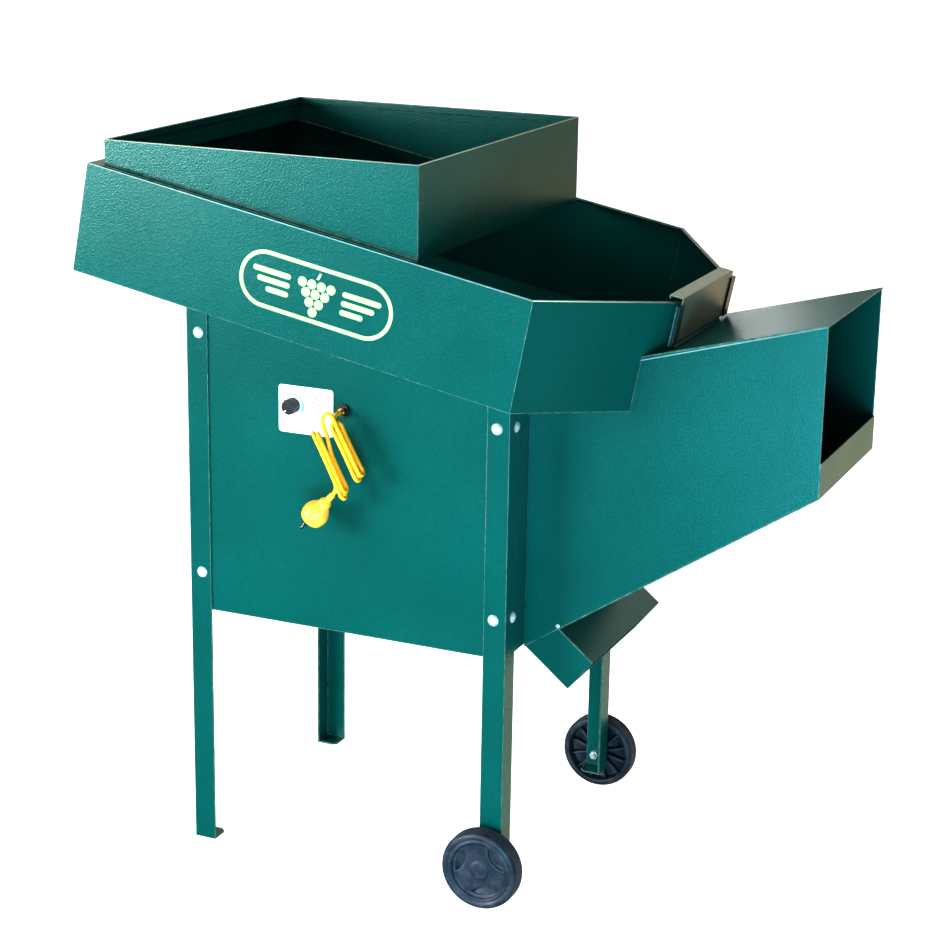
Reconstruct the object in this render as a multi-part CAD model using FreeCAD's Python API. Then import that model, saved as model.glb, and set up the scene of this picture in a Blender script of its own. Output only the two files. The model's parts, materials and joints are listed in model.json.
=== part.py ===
import FreeCAD, Part
import math
import os

# Small electric fruit cleaner on two wheels: a sloping tray under a hopper feeds a drop
# opening, a blower in the cabinet lifts leaves out of a rising duct, and fruit leaves by a
# low chute.  Millimetres.  The drawing frame has X to the right along the machine, Y to the
# rear and Z up, from the outer corner of the front left leg on the floor.  Everything is
# moved at the end so that the origin is the middle of the footprint.

# ---- driving dimensions ----
SHEET = 2.0                 # folded sheet steel
BODY_WIDTH = 600.0
BODY_DEPTH = 515.0
BODY_BOTTOM = 440.0
RETURN_WIDTH = 18.0         # folded lower edge of the cabinet panels

LEG_SIZE = 40.0
LEG_SHEET = 3.0
FOOT_LIFT = 46.0            # wheeled legs end above the floor
FOOT_CORNER = 8.0

BOLT_R = 4.0
BOLT_HOLE_R = 4.2
BOLT_HEAD_R = 10.0
BOLT_HEAD_H = 4.5
BOLT_LENGTH = 17.0
NUT_R = 7.5
NUT_H = 6.5
BOLT_INSET_FRONT = 22.5
BOLT_INSET_SIDE = 30.0
BOLT_LOW_Z = 508.0
BOLT_HIGH_LEFT_Z = 937.0
BOLT_HIGH_RIGHT_Z = 836.0

TRAY_SLOPE = 10.8           # degrees, down to the right
TRAY_LEFT = -158.0          # lower left edge of the tray
TRAY_LEFT_Z = 1045.0        # underside of the tray floor there
TRAY_OVERHANG = 100.0       # past the cabinet, front and rear
TRAY_LENGTH = 813.0         # along the slope, to where the walls turn in
TRAY_HEIGHT = 186.0
TAPER_LENGTH = 165.0        # turned-in end, along the slope
TAPER_IN = 238.0
RAIL_WIDTH = 22.0           # folded top edge that carries the hopper
EDGE_WIDTH = 6.0            # folded top edge elsewhere

HOPPER_LEFT = -100.0
HOPPER_RIGHT = 472.0
HOPPER_INSET = 17.0         # from the outside of the tray walls
HOPPER_TOP = 1266.0
HEM_DEPTH = 12.0

DUCT_INSET = 90.0           # from the cabinet's front and rear
MOUTH_X = 1091.0
MOUTH_TOP = 1043.0
MOUTH_BOTTOM = 764.0
MOUTH_LIP = 58.0
DUCT_TOP_SLOPE = 15.0       # degrees, rising to the mouth
DUCT_LOW_Z = 436.0          # lowest line of the duct, at the cabinet
DUCT_FLANGE = 15.0
DUCT_FLANGE_UP = 20.0       # flange starts this far above the cabinet's lower edge
CHUTE_RIVET = 4.0           # rivet before the chute's upper corner
CHUTE_RIVET_UP = 7.5        # and above the duct's lower edge

CHUTE_HEIGHT = 70.0
CHUTE_LENGTH = 79.0
CHUTE_SLOPE = 39.0          # degrees, down to the right
CHUTE_TAB = 18.0            # chute floor's edge turned up inside the cabinet

DROP_MARGIN = 6.0           # floor left around the drop opening
GRID_ROD_R = 3.0
GRID_PITCH = 27.0
GRID_BAR_WIDTH = 10.0       # flat bars under the rods
GRID_BAR_H = 4.0
GRID_WELD = 0.5             # rods sink into the bars
GRID_LAP = 12.0             # grid on the floor before the opening
GRID_END_GAP = 4.0

GATE_SIDE = 10.0            # gate beyond the spout on each side
GATE_ABOVE = 10.0           # top of the gate above the tray walls
GATE_GAP = 4.0              # gate above the duct top
GATE_LIP = 24.0
GATE_HEM = 5.0              # lip's edge turned down
GATE_PLAY = 0.5
GATE_EDGE_GAP = 2.0         # gate's edge to the bottom of the groove
GUIDE_WIDTH = 26.0
GUIDE_COVER = 23.0
RIVET_R = 2.0
RIVET_PLAY = 0.05
RIVET_HEAD_R = 4.0
RIVET_HEAD_H = 1.6

WHEEL_R = 70.0
WHEEL_WIDTH = 38.0
WHEEL_WEB = 5.0
WHEEL_RING = 14.0
WHEEL_EDGE = 3.0            # tyre corners
WHEEL_DISH = 5.0            # web behind the tyre's outer face
WHEEL_RIBS = 12
WHEEL_RIB_SHEET = 3.0
WHEEL_RIB_GAP = 6.0         # ribs inside the tyre's inner face
POCKETS = 3
POCKET_TURN = 40.0          # degrees, first pocket above level
POCKET_FAR = 64.5           # middle of a pocket's inner arc from the axle
POCKET_R = 31.5
POCKET_LEFT = 2.0           # web left under a pocket
HUB_R = 17.0
HUB_DISH = 3.0
HUB_RECESS_R = 12.0
HUB_RECESS = 9.0
AXLE_R = 5.0
AXLE_PLAY = 0.06
AXLE_INSET = 23.0
AXLE_HEX_R = 8.6
AXLE_HEAD_H = 6.4
AXLE_HEAD_GAP = 0.3         # head above the bottom of the hub's recess
AXLE_NUT_H = 8.0
AXLE_END = 6.0              # thread past the nut
THREAD_PLAY = 0.03
SPACER_LENGTH = 6.0
SPACER_R = 9.0

BLOWER_X = 300.0
BLOWER_Z = 660.0
SCROLL_START_R = 127.0      # scroll radius at the tongue
SCROLL_END_R = 175.0        # and at the bottom
OUTLET_HEIGHT = 120.0
SCROLL_WIDTH = 180.0
SCROLL_FOOT = 125.0         # half width of the side plates' feet
WHEEL_FAN_R = 110.0
WHEEL_FAN_EYE_R = 72.0
WHEEL_FAN_WIDTH = 145.0
FAN_GAP = 10.0              # blower wheel from the scroll's front plate
FAN_HUB_WALL = 10.0
FAN_HUB_BEHIND = 4.0
FAN_HUB_LENGTH = 34.0
BLADE_TRIM = 1.0            # blades inside the wheel's eye and rim
BLADES = 14
BLADE_LEAN = 28.0           # degrees, backward
INLET_R = 74.0
INLET_FLANGE = 22.0
INLET_DEPTH = 12.0
INLET_PLAY = 1.0
GUARD_BAR = 4.0
GUARD_RINGS = (26.0, 50.0, 80.0)
GUARD_INSET = 4.0           # bars end inside the inlet ring's edge
RAIL_SIZE = 30.0
RAIL_SHEET = 3.0

SHAFT_R = 9.0
SHAFT_PLAY = 0.06
PRESS_PLAY = 0.02
SHAFT_CLEAR = 3.0           # covers around the shaft
SHAFT_HOLE_R = 26.0         # in the scroll's front plate
SHAFT_REACH = 48.0          # into the scroll
MOTOR_R = 58.0
MOTOR_WALL = 8.0
MOTOR_LENGTH = 104.0
MOTOR_FIN = 5.0
MOTOR_FINS = 20
MOTOR_FIN_SHEET = 3.0
MOTOR_FIN_END = 6.0         # fins stop short of the housing's ends
MOTOR_END = 5.0             # rear end plate
TERMINAL_SIZE = 64.0        # terminal box, across and along the motor
TERMINAL_START = 20.0
TERMINAL_UP = 36.0          # above the housing
TERMINAL_SINK = 4.0
MOTOR_FLANGE_BOLT_R = MOTOR_R + 10.0    # bolts outside the housing and its fins
MOTOR_FLANGE_R = MOTOR_FLANGE_BOLT_R + 12.0
MOTOR_FLANGE_H = 9.0
MOTOR_HEAD_H = 5.5
COWL_DEPTH = 24.0
COWL_SLOTS = 8
COWL_SLOT_START = 18.0
COWL_SLOT_WIDTH = 6.0
COWL_SLOT_EDGE = 10.0
COOLING_BLADES = 6
COOLING_INSET = 12.0        # cooling blades inside the motor's radius
COOLING_DEPTH = 10.0
COOLING_GAP = 8.0           # blades in front of the cowl's end
BEARING_R = 20.0
BEARING_H = 12.0
BEARING_WALL = 5.0          # metal round a bearing
ROTOR_R = 33.0
AIR_GAP = 1.0
STATOR_LENGTH = 60.0
STATOR_SHIFT = 2.0          # core from the middle of the housing

PLATE_X = 228.0             # middle of the control plate
PLATE_Z = 824.0
PLATE_WIDTH = 103.0
PLATE_HEIGHT = 82.0
PLATE_SHEET = 1.5
PLATE_CORNER = 6.0
KNOB_X = 204.0
KNOB_Z = 831.0
KNOB_R = 13.2
KNOB_H = 18.0
KNOB_GAP = 0.8
KNOB_BEVEL = 1.2
KNOB_FLUTES = 12
FLUTE_R = 2.4
FLUTE_OUT = 1.4             # middle of a flute outside the knob
FLUTE_LEFT = 3.0            # plain skirt behind the flutes
SPINDLE_R = 3.0
SPINDLE_HOLE_R = 4.5
SPINDLE_PLAY = 0.06
SPINDLE_LENGTH = 22.0
SPINDLE_BOSS_R = 11.0
SPINDLE_BOSS_H = 20.0
SPINDLE_BORE = 18.0
CONTROLLER_DEPTH = 55.0
CONTROLLER_WALL = 2.5
CONTROLLER_PAST = 12.0      # box past the gland
GLAND_X = 300.0
GLAND_Z = 833.0
GLAND_R = 11.0
GLAND_THREAD_R = 7.9
GLAND_HOLE_R = 8.0
GLAND_THREAD_IN = 9.0       # thread past the panel
GLAND_H = 6.0
GLAND_NUT_R = 7.5
GLAND_NECK_R = 5.5
GLAND_NECK_H = 5.0
GLAND_NUT_H = 14.0

CORD_R = 3.5
HANK_OFF = 13.0             # loops in front of the gland nut
HANK_THICK = 22.0
HANK_HALF = 11.0            # half width of a bundle of strands
LEG_HALF = 8.0              # and of the loop's single leg
TAIL_LENGTH = 14.0          # last of the lead, into the plug
PLUG_R = 23.0
PLUG_LENGTH = 44.0
PLUG_RELIEF = 22.0
PLUG_NECK = (2.0, 4.0, 7.0) # strain relief outside the lead, from its end to the body
PLUG_COLLAR = 4.0
PLUG_WIDEST = 0.55          # share of the body's length
PLUG_FACE = 0.8             # end face's share of the widest radius
PIN_R = 2.4
PIN_LENGTH = 19.0
PIN_SPACING = 19.0

# ---- worked-out values ----
V = FreeCAD.Vector
MIDDLE_Y = BODY_DEPTH / 2
SLOPE_SIN = math.sin(math.radians(TRAY_SLOPE))
SLOPE_COS = math.cos(math.radians(TRAY_SLOPE))
TRAY_FRONT = -TRAY_OVERHANG
TRAY_REAR = BODY_DEPTH + TRAY_OVERHANG
TRAY_END = TRAY_LENGTH + TAPER_LENGTH
SPOUT_FRONT = TRAY_FRONT + TAPER_IN
SPOUT_REAR = TRAY_REAR - TAPER_IN
DUCT_FRONT = DUCT_INSET
DUCT_REAR = BODY_DEPTH - DUCT_INSET
PANEL_FACE = LEG_SHEET                      # outer face of the cabinet panels
WALL_X = BODY_WIDTH - PANEL_FACE            # outer face of the right side panel
PANEL_INNER = PANEL_FACE + SHEET
OUTLET_LOW = BLOWER_Z - SCROLL_END_R
OUTLET_TOP = OUTLET_LOW + OUTLET_HEIGHT
SCROLL_FRONT = MIDDLE_Y - SCROLL_WIDTH / 2
SCROLL_REAR = MIDDLE_Y + SCROLL_WIDTH / 2
AXLE_X = BODY_WIDTH - AXLE_INSET
ORIGIN = V((TRAY_LEFT + MOUTH_X) / 2, MIDDLE_Y, 0)
BIG = 2000.0                # past everything, for cutting
OVER = 1.0                  # cuts run this far past a face
PAST = 10.0                 # and this far past a whole plate


# ---- building blocks ----
def box(x0, y0, z0, x1, y1, z1):
    return Part.makeBox(x1 - x0, y1 - y0, z1 - z0, V(x0, y0, z0))


def loop(points):
    return Part.Face(Part.makePolygon(points + [points[0]]))


def side_plate(outline, y0, y1):
    """Plate standing in the X-Z plane, from (x, z) corners."""
    return loop([V(x, y0, z) for x, z in outline]).extrude(V(0, y1 - y0, 0))


def plan_plate(outline, z0, z1):
    """Plate lying in the X-Y plane, from (x, y) corners."""
    return loop([V(x, y, z0) for x, y in outline]).extrude(V(0, 0, z1 - z0))


def rod_y(x, z, r, y0, y1):
    return Part.makeCylinder(r, y1 - y0, V(x, y0, z), V(0, 1, 0))


def rod_x(y, z, r, x0, x1):
    return Part.makeCylinder(r, x1 - x0, V(x0, y, z), V(1, 0, 0))


def fuse(shapes):
    return shapes[0].multiFuse(shapes[1:]).removeSplitter() if len(shapes) > 1 else shapes[0]


def mirror_y(shape):
    """The same piece on the other side of the machine's middle plane."""
    return shape.mirror(V(0, MIDDLE_Y, 0), V(0, 1, 0))


def mirror_x(shape):
    return shape.mirror(V(BODY_WIDTH / 2, 0, 0), V(1, 0, 0))


def on_slope(shape):
    """From the tray's own frame, X along the slope, to the drawing frame."""
    placed = shape.copy()
    placed.rotate(V(0, 0, 0), V(0, 1, 0), TRAY_SLOPE)
    placed.translate(V(TRAY_LEFT, 0, TRAY_LEFT_Z))
    return placed


def strip(points, width):
    """Plan outline of a band on the left of an open line."""
    normals = []
    for (ax, ay), (bx, by) in zip(points, points[1:]):
        length = math.hypot(bx - ax, by - ay)
        normals.append((-(by - ay) / length, (bx - ax) / length))
    inner = []
    for i, (x, y) in enumerate(points):
        n0 = normals[max(i - 1, 0)]
        n1 = normals[min(i, len(normals) - 1)]
        scale = width / (1 + n0[0] * n1[0] + n0[1] * n1[1])
        inner.append((x + (n0[0] + n1[0]) * scale, y + (n0[1] + n1[1]) * scale))
    return points + inner[::-1]


def hexagon(x, z, r, y0, y1):
    corners = [(x + r * math.cos(math.radians(60 * i)), z + r * math.sin(math.radians(60 * i)))
               for i in range(6)]
    return side_plate(corners, y0, y1)


def dome(r, height):
    """Low round head on the X-Y plane, rising along +Z."""
    ball = (r * r + height * height) / (2 * height)
    arc = Part.Arc(V(r, 0, 0), V(ball * math.sin(math.asin(r / ball) / 2), 0,
                                 ball * math.cos(math.asin(r / ball) / 2) - ball + height),
                   V(0, 0, height)).toShape()
    wire = Part.Wire([Part.makeLine(V(0, 0, 0), V(r, 0, 0)), arc,
                      Part.makeLine(V(0, 0, height), V(0, 0, 0))])
    return Part.Face(wire).revolve(V(0, 0, 0), V(0, 0, 1), 360)


def aim(shape, place, direction):
    """Turn a shape's +Z to a direction and carry its origin to a place."""
    turned = shape.copy()
    turned.Placement = FreeCAD.Placement(V(*place), FreeCAD.Rotation(V(0, 0, 1), V(*direction)))
    return turned


def save(name, shapes):
    if not isinstance(shapes, list):
        shapes = [shapes]
    solids = [s for shape in shapes for s in shape.Solids]
    moved = []
    for solid in solids:
        copy = solid.copy()
        copy.translate(-ORIGIN)
        moved.append(copy)
    whole = moved[0] if len(moved) == 1 else Part.makeCompound(moved)
    whole.exportStep("parts/" + name + ".step")
    ok = all(s.isValid() for s in moved)
    print(name, len(moved), "solids", "valid" if ok else "NOT VALID",
          round(sum(s.Volume for s in moved)))


# ---- space around the tray ----
def tray_plan():
    """Outer plan of the tray in its own frame."""
    return [(0, TRAY_FRONT), (TRAY_LENGTH, TRAY_FRONT), (TRAY_END, SPOUT_FRONT),
            (TRAY_END, SPOUT_REAR), (TRAY_LENGTH, TRAY_REAR), (0, TRAY_REAR)]


def above_tray_floor():
    return on_slope(box(-BIG, -BIG, 0, BIG, BIG, BIG))


def tray_space():
    return on_slope(plan_plate(tray_plan(), 0, BIG / 2))


def duct_top_z(x):
    return MOUTH_TOP - (MOUTH_X - x) * math.tan(math.radians(DUCT_TOP_SLOPE))


def duct_top_on_tray(u):
    """Height, square to the tray floor, where the duct top crosses a place on the slope."""
    tilt = math.tan(math.radians(DUCT_TOP_SLOPE))
    base = MOUTH_TOP - (MOUTH_X - TRAY_LEFT - u * SLOPE_COS) * tilt - TRAY_LEFT_Z + u * SLOPE_SIN
    return base / (SLOPE_COS - SLOPE_SIN * tilt)


# ---- cabinet ----
def bolt_places():
    """(side, corner in X, corner in Y, height) of every leg bolt."""
    places = []
    for right in (False, True):
        high = BOLT_HIGH_RIGHT_Z if right else BOLT_HIGH_LEFT_Z
        for rear in (False, True):
            for z in (BOLT_LOW_Z, high):
                places.append(("front", right, rear, z))
                places.append(("side", right, rear, z))
    return places


def at_corner(shape, right, rear):
    if right:
        shape = mirror_x(shape)
    return mirror_y(shape) if rear else shape


def bolt_holes():
    holes = []
    for kind, right, rear, z in bolt_places():
        if kind == "front":
            hole = rod_y(BOLT_INSET_FRONT, z, BOLT_HOLE_R, -OVER, PANEL_INNER + OVER)
        else:
            hole = rod_x(BOLT_INSET_SIDE, z, BOLT_HOLE_R, -OVER, PANEL_INNER + OVER)
        holes.append(at_corner(hole, right, rear))
    return holes


def leg(right, rear):
    section = [(0, 0), (LEG_SIZE, 0), (LEG_SIZE, LEG_SHEET), (LEG_SHEET, LEG_SHEET),
               (LEG_SHEET, LEG_SIZE), (0, LEG_SIZE)]
    low = FOOT_LIFT if right else 0.0
    post = plan_plate(section, low, BIG)
    foot = plan_plate([(0, 0), (LEG_SIZE, 0), (LEG_SIZE, LEG_SIZE - FOOT_CORNER),
                       (LEG_SIZE - FOOT_CORNER, LEG_SIZE), (0, LEG_SIZE)], low, low + LEG_SHEET)
    shape = at_corner(fuse([post, foot]), right, rear).cut(above_tray_floor())
    if right:
        axle = rod_y(AXLE_X, WHEEL_R, AXLE_R + AXLE_PLAY, -OVER, BODY_DEPTH + OVER)
        shape = shape.cut(axle)
    return shape.cut(bolt_holes())


def front_panel(rear):
    plate = box(LEG_SHEET, PANEL_FACE, BODY_BOTTOM, WALL_X, PANEL_INNER, BIG)
    edge = box(LEG_SIZE, PANEL_FACE, BODY_BOTTOM, BODY_WIDTH - LEG_SIZE,
               PANEL_INNER + RETURN_WIDTH, BODY_BOTTOM + SHEET)
    shape = fuse([plate, edge])
    if rear:
        shape = mirror_y(shape)
    else:
        shape = shape.cut([rod_y(KNOB_X, KNOB_Z, SPINDLE_HOLE_R, 0, PAST),
                           rod_y(GLAND_X, GLAND_Z, GLAND_HOLE_R, 0, PAST)])
    return shape.cut(above_tray_floor()).cut(bolt_holes())


def side_panel(right):
    plate = box(PANEL_FACE, PANEL_INNER, BODY_BOTTOM, PANEL_INNER,
                BODY_DEPTH - PANEL_INNER, BIG)
    edge = box(PANEL_FACE, LEG_SIZE, BODY_BOTTOM, PANEL_INNER + RETURN_WIDTH,
               BODY_DEPTH - LEG_SIZE, BODY_BOTTOM + SHEET)
    shape = fuse([plate, edge])
    if right:
        shape = mirror_x(shape)
        shape = shape.cut(box(WALL_X - PAST, SCROLL_FRONT, OUTLET_LOW,
                              WALL_X + PAST, SCROLL_REAR, OUTLET_TOP))
    return shape.cut(above_tray_floor()).cut(bolt_holes())


def leg_bolts():
    bolts = []
    for kind, right, rear, z in bolt_places():
        bolt = fuse([dome(BOLT_HEAD_R, BOLT_HEAD_H),
                     Part.makeCylinder(BOLT_R, BOLT_LENGTH, V(0, 0, -BOLT_LENGTH))])
        if kind == "front":
            bolt = aim(bolt, (BOLT_INSET_FRONT, 0, z), (0, -1, 0))
        else:
            bolt = aim(bolt, (0, BOLT_INSET_SIDE, z), (-1, 0, 0))
        bolts.append(at_corner(bolt, right, rear))
    return bolts


def leg_nuts():
    nuts = []
    for kind, right, rear, z in bolt_places():
        nut = hexagon(0, 0, NUT_R, 0, NUT_H).cut(rod_y(0, 0, BOLT_R + RIVET_PLAY, -OVER, NUT_H + OVER))
        if kind == "front":
            nut.translate(V(BOLT_INSET_FRONT, PANEL_INNER, z))
        else:
            nut.rotate(V(0, 0, 0), V(0, 0, 1), -90)
            nut.translate(V(PANEL_INNER, BOLT_INSET_SIDE, z))
        nuts.append(at_corner(nut, right, rear))
    return nuts


# ---- tray ----
def wall_line():
    return [(0, TRAY_FRONT), (TRAY_LENGTH, TRAY_FRONT), (TRAY_END, SPOUT_FRONT)]


def rail_end():
    """Place on the slope where the hopper's carrying edge stops."""
    return (HOPPER_RIGHT - TRAY_LEFT - TRAY_HEIGHT * SLOPE_SIN) / SLOPE_COS


def tray_wall():
    web = plan_plate(strip(wall_line(), SHEET), 0, TRAY_HEIGHT)
    rail = box(0, TRAY_FRONT, TRAY_HEIGHT - SHEET, rail_end(), TRAY_FRONT + RAIL_WIDTH, TRAY_HEIGHT)
    edge_line = [(rail_end(), TRAY_FRONT)] + wall_line()[1:]
    edge = plan_plate(strip(edge_line, EDGE_WIDTH), TRAY_HEIGHT - SHEET, TRAY_HEIGHT)
    flange = box(TRAY_END - SHEET, SPOUT_FRONT - GUIDE_WIDTH, guide_low(),
                 TRAY_END, SPOUT_FRONT, TRAY_HEIGHT - SHEET)
    return on_slope(fuse([web, rail, edge, flange]))


def tray_end_wall():
    web = box(0, TRAY_FRONT + SHEET, 0, SHEET, TRAY_REAR - SHEET, TRAY_HEIGHT)
    rail = box(0, TRAY_FRONT + RAIL_WIDTH, TRAY_HEIGHT - SHEET, RAIL_WIDTH,
               TRAY_REAR - RAIL_WIDTH, TRAY_HEIGHT)
    notch = box(-OVER, TRAY_FRONT, TRAY_HEIGHT - SHEET, SHEET + OVER,
                TRAY_FRONT + RAIL_WIDTH, TRAY_HEIGHT + OVER)
    return on_slope(fuse([web.cut([notch, mirror_y(notch)]), rail]))


def drop_start():
    """Left edge of the drop opening on the slope, just past the cabinet."""
    return (BODY_WIDTH + DROP_MARGIN - TRAY_LEFT) / SLOPE_COS


def drop_outline():
    low = DUCT_FRONT + SHEET + DROP_MARGIN
    high = DUCT_REAR - SHEET - DROP_MARGIN
    slant = TAPER_LENGTH / TAPER_IN
    inset = (SHEET + DROP_MARGIN) * math.hypot(TAPER_LENGTH, TAPER_IN) / TAPER_IN
    corner = TRAY_LENGTH + (low - TRAY_FRONT) * slant - inset
    spout = TRAY_LENGTH + TAPER_LENGTH - inset
    return [(drop_start(), low), (corner, low), (spout, SPOUT_FRONT),
            (TRAY_END + OVER, SPOUT_FRONT), (TRAY_END + OVER, SPOUT_REAR), (spout, SPOUT_REAR),
            (corner, high), (drop_start(), high)]


def tray_floor():
    front = strip(wall_line(), SHEET)[3:][::-1]
    rear = [(u, BODY_DEPTH - y) for u, y in front[::-1]]
    front[0] = (SHEET, front[0][1])
    rear[-1] = (SHEET, rear[-1][1])
    plate = plan_plate(front + rear, 0, SHEET)
    return on_slope(plate.cut(plan_plate(drop_outline(), -OVER, SHEET + OVER)))


def twig_grid():
    """Rods down the slope over the drop opening, welded on two flat bars."""
    low = DUCT_FRONT + SHEET + DROP_MARGIN
    spout_low = SPOUT_FRONT + DROP_MARGIN
    count = int((SPOUT_REAR - SPOUT_FRONT - 2 * DROP_MARGIN) // GRID_PITCH) + 1
    first = MIDDLE_Y - (count - 1) * GRID_PITCH / 2
    start = drop_start() - GRID_LAP
    end = TRAY_END - GRID_END_GAP
    top = SHEET + GRID_BAR_H
    level = top + GRID_ROD_R - GRID_WELD
    bars = [box(start, low, SHEET, start + GRID_BAR_WIDTH, BODY_DEPTH - low, top),
            box(end - GRID_BAR_WIDTH, spout_low, SHEET, end, BODY_DEPTH - spout_low, top)]
    rods = [Part.makeCylinder(GRID_ROD_R, end - start - 2 * OVER,
                              V(start + OVER, first + i * GRID_PITCH, level), V(1, 0, 0))
            for i in range(count)]
    return on_slope(fuse(bars + rods))


# ---- gate ----
def guide_low():
    return duct_top_on_tray(TRAY_END + SHEET) + GATE_GAP


def gate():
    inner = TRAY_END + GATE_PLAY
    outer = inner + SHEET
    top = TRAY_HEIGHT + GATE_ABOVE
    low = duct_top_on_tray(outer) + GATE_GAP
    front = SPOUT_FRONT - GATE_SIDE
    rear = SPOUT_REAR + GATE_SIDE
    plate = box(inner, front, low, outer, rear, top)
    lip = box(outer - GATE_LIP, front, top - SHEET, outer, rear, top)
    turned = box(outer - GATE_LIP, front, top - SHEET - GATE_HEM, outer - GATE_LIP + SHEET, rear, top)
    return on_slope(fuse([plate, lip, turned]))


def gate_guide():
    front = SPOUT_FRONT - GUIDE_WIDTH
    groove = SHEET + 2 * GATE_PLAY
    base = box(TRAY_END, front, guide_low(), TRAY_END + groove,
               SPOUT_FRONT - GATE_SIDE - GATE_EDGE_GAP, TRAY_HEIGHT - SHEET)
    cover = box(TRAY_END + groove, front, guide_low(), TRAY_END + groove + SHEET,
                front + GUIDE_COVER, TRAY_HEIGHT - SHEET)
    return on_slope(fuse([base, cover]))


# ---- hopper ----
def hopper_side():
    y0 = TRAY_FRONT + HOPPER_INSET
    web = box(HOPPER_LEFT, y0, BODY_BOTTOM, HOPPER_RIGHT, y0 + SHEET, HOPPER_TOP)
    hem = box(HOPPER_LEFT + SHEET, y0, HOPPER_TOP - HEM_DEPTH, HOPPER_RIGHT - SHEET,
              y0 + 2 * SHEET, HOPPER_TOP)
    return fuse([web, hem]).cut(under_hopper())


def under_hopper():
    return on_slope(box(-BIG, -BIG, -BIG, BIG, BIG, TRAY_HEIGHT))


def hopper_end(x0, inward):
    front = TRAY_FRONT + HOPPER_INSET + SHEET
    rear = BODY_DEPTH - front
    web = box(x0, front, BODY_BOTTOM, x0 + SHEET, rear, HOPPER_TOP)
    hem_x = x0 + inward * SHEET
    hem = box(hem_x, front + SHEET, HOPPER_TOP - HEM_DEPTH, hem_x + SHEET, rear - SHEET, HOPPER_TOP)
    return fuse([web, hem]).cut(under_hopper())


# ---- duct and chute ----
def duct_floor_slope():
    return math.atan2(MOUTH_BOTTOM - DUCT_LOW_Z, MOUTH_X - BODY_WIDTH)


def duct_floor_z(x):
    return DUCT_LOW_Z + (x - BODY_WIDTH) * math.tan(duct_floor_slope())


def chute_corners():
    """Upper start, upper end, lower end and lower start of the chute, outside."""
    slope = math.radians(CHUTE_SLOPE)
    along = V(math.cos(slope), 0, -math.sin(slope))
    across = V(-math.sin(slope), 0, -math.cos(slope))
    low = V(BODY_WIDTH, 0, DUCT_LOW_Z)
    turn = slope + duct_floor_slope()
    top = low + V(math.cos(duct_floor_slope()), 0, math.sin(duct_floor_slope())) * (
        CHUTE_HEIGHT / math.sin(turn))
    end = top + along * CHUTE_LENGTH
    return top, end, end + across * CHUTE_HEIGHT, low


def duct_side():
    outline = [(WALL_X, duct_floor_z(WALL_X)), (MOUTH_X - SHEET, duct_floor_z(MOUTH_X - SHEET)),
               (MOUTH_X - SHEET, duct_top_z(MOUTH_X - SHEET)), (WALL_X, duct_top_z(WALL_X))]
    web = side_plate(outline, DUCT_FRONT, DUCT_FRONT + SHEET)
    flange = box(WALL_X, DUCT_FRONT, BODY_BOTTOM + DUCT_FLANGE_UP,
                 WALL_X + SHEET, DUCT_FRONT + DUCT_FLANGE, BIG)
    shape = fuse([web, flange]).cut(tray_space()).cut(duct_top_panel_space())
    shape = shape.cut(duct_floor_space())
    x, z = chute_rivet_place()
    return shape.cut(rod_y(x, z, RIVET_R + RIVET_PLAY, DUCT_FRONT - PAST, DUCT_FRONT + PAST))


def chute_rivet_place():
    x = chute_corners()[0].x - CHUTE_RIVET
    return x, duct_floor_z(x) + CHUTE_RIVET_UP


def small_rivets():
    """One in each duct plate, at the chute's upper corner."""
    x, z = chute_rivet_place()
    length = 2 * SHEET + OVER
    rivet = fuse([dome(RIVET_HEAD_R, RIVET_HEAD_H),
                  Part.makeCylinder(RIVET_R, length, V(0, 0, -length))])
    placed = aim(rivet, (x, DUCT_FRONT, z), (0, -1, 0))
    return [placed, mirror_y(placed)]


def duct_top_panel_space():
    end = MOUTH_X + PAST
    outline = [(WALL_X, duct_top_z(WALL_X) - SHEET), (end, duct_top_z(end) - SHEET),
               (end, BIG), (WALL_X, BIG)]
    return side_plate(outline, -BIG, BIG)


def duct_floor_space():
    start = WALL_X - PAST
    end = MOUTH_X + PAST
    outline = [(start, duct_floor_z(start) + SHEET), (end, duct_floor_z(end) + SHEET),
               (end, 0), (start, 0)]
    return side_plate(outline, -BIG, BIG)


def duct_top_panel():
    outline = [(WALL_X, duct_top_z(WALL_X) - SHEET), (MOUTH_X, duct_top_z(MOUTH_X) - SHEET),
               (MOUTH_X, duct_top_z(MOUTH_X)), (WALL_X, duct_top_z(WALL_X))]
    plate = side_plate(outline, DUCT_FRONT, DUCT_REAR)
    return plate.cut(tray_space()).cut(under_tray())


def under_tray():
    """Everything left of where the turned-in walls reach the duct plates."""
    return on_slope(box(-BIG, -BIG, -BIG, TRAY_LENGTH, BIG, BIG))


def duct_floor_panel():
    top = chute_corners()[0]
    outline = [(top.x, duct_floor_z(top.x)), (MOUTH_X, duct_floor_z(MOUTH_X)),
               (MOUTH_X, MOUTH_BOTTOM + MOUTH_LIP), (MOUTH_X - SHEET, MOUTH_BOTTOM + MOUTH_LIP),
               (MOUTH_X - SHEET, duct_floor_z(MOUTH_X - SHEET) + SHEET),
               (top.x, duct_floor_z(top.x) + SHEET)]
    return side_plate(outline, DUCT_FRONT, DUCT_REAR)


def chute_side():
    top, end, lower, low = chute_corners()
    outline = [(p.x, p.z) for p in (top, end, lower, low)]
    outline += [(low.x - SHEET / math.tan(duct_floor_slope()), DUCT_LOW_Z),
                (top.x, duct_floor_z(top.x) + SHEET)]
    return side_plate(outline, DUCT_FRONT, DUCT_FRONT + SHEET).cut(chute_top())


def chute_top():
    top, end, lower, low = chute_corners()
    slope = math.radians(CHUTE_SLOPE)
    inward = V(-math.sin(slope), 0, -math.cos(slope)) * SHEET
    outline = [(p.x, p.z) for p in (top, end, end + inward, top + inward)]
    return side_plate(outline, DUCT_FRONT, DUCT_REAR)


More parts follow.
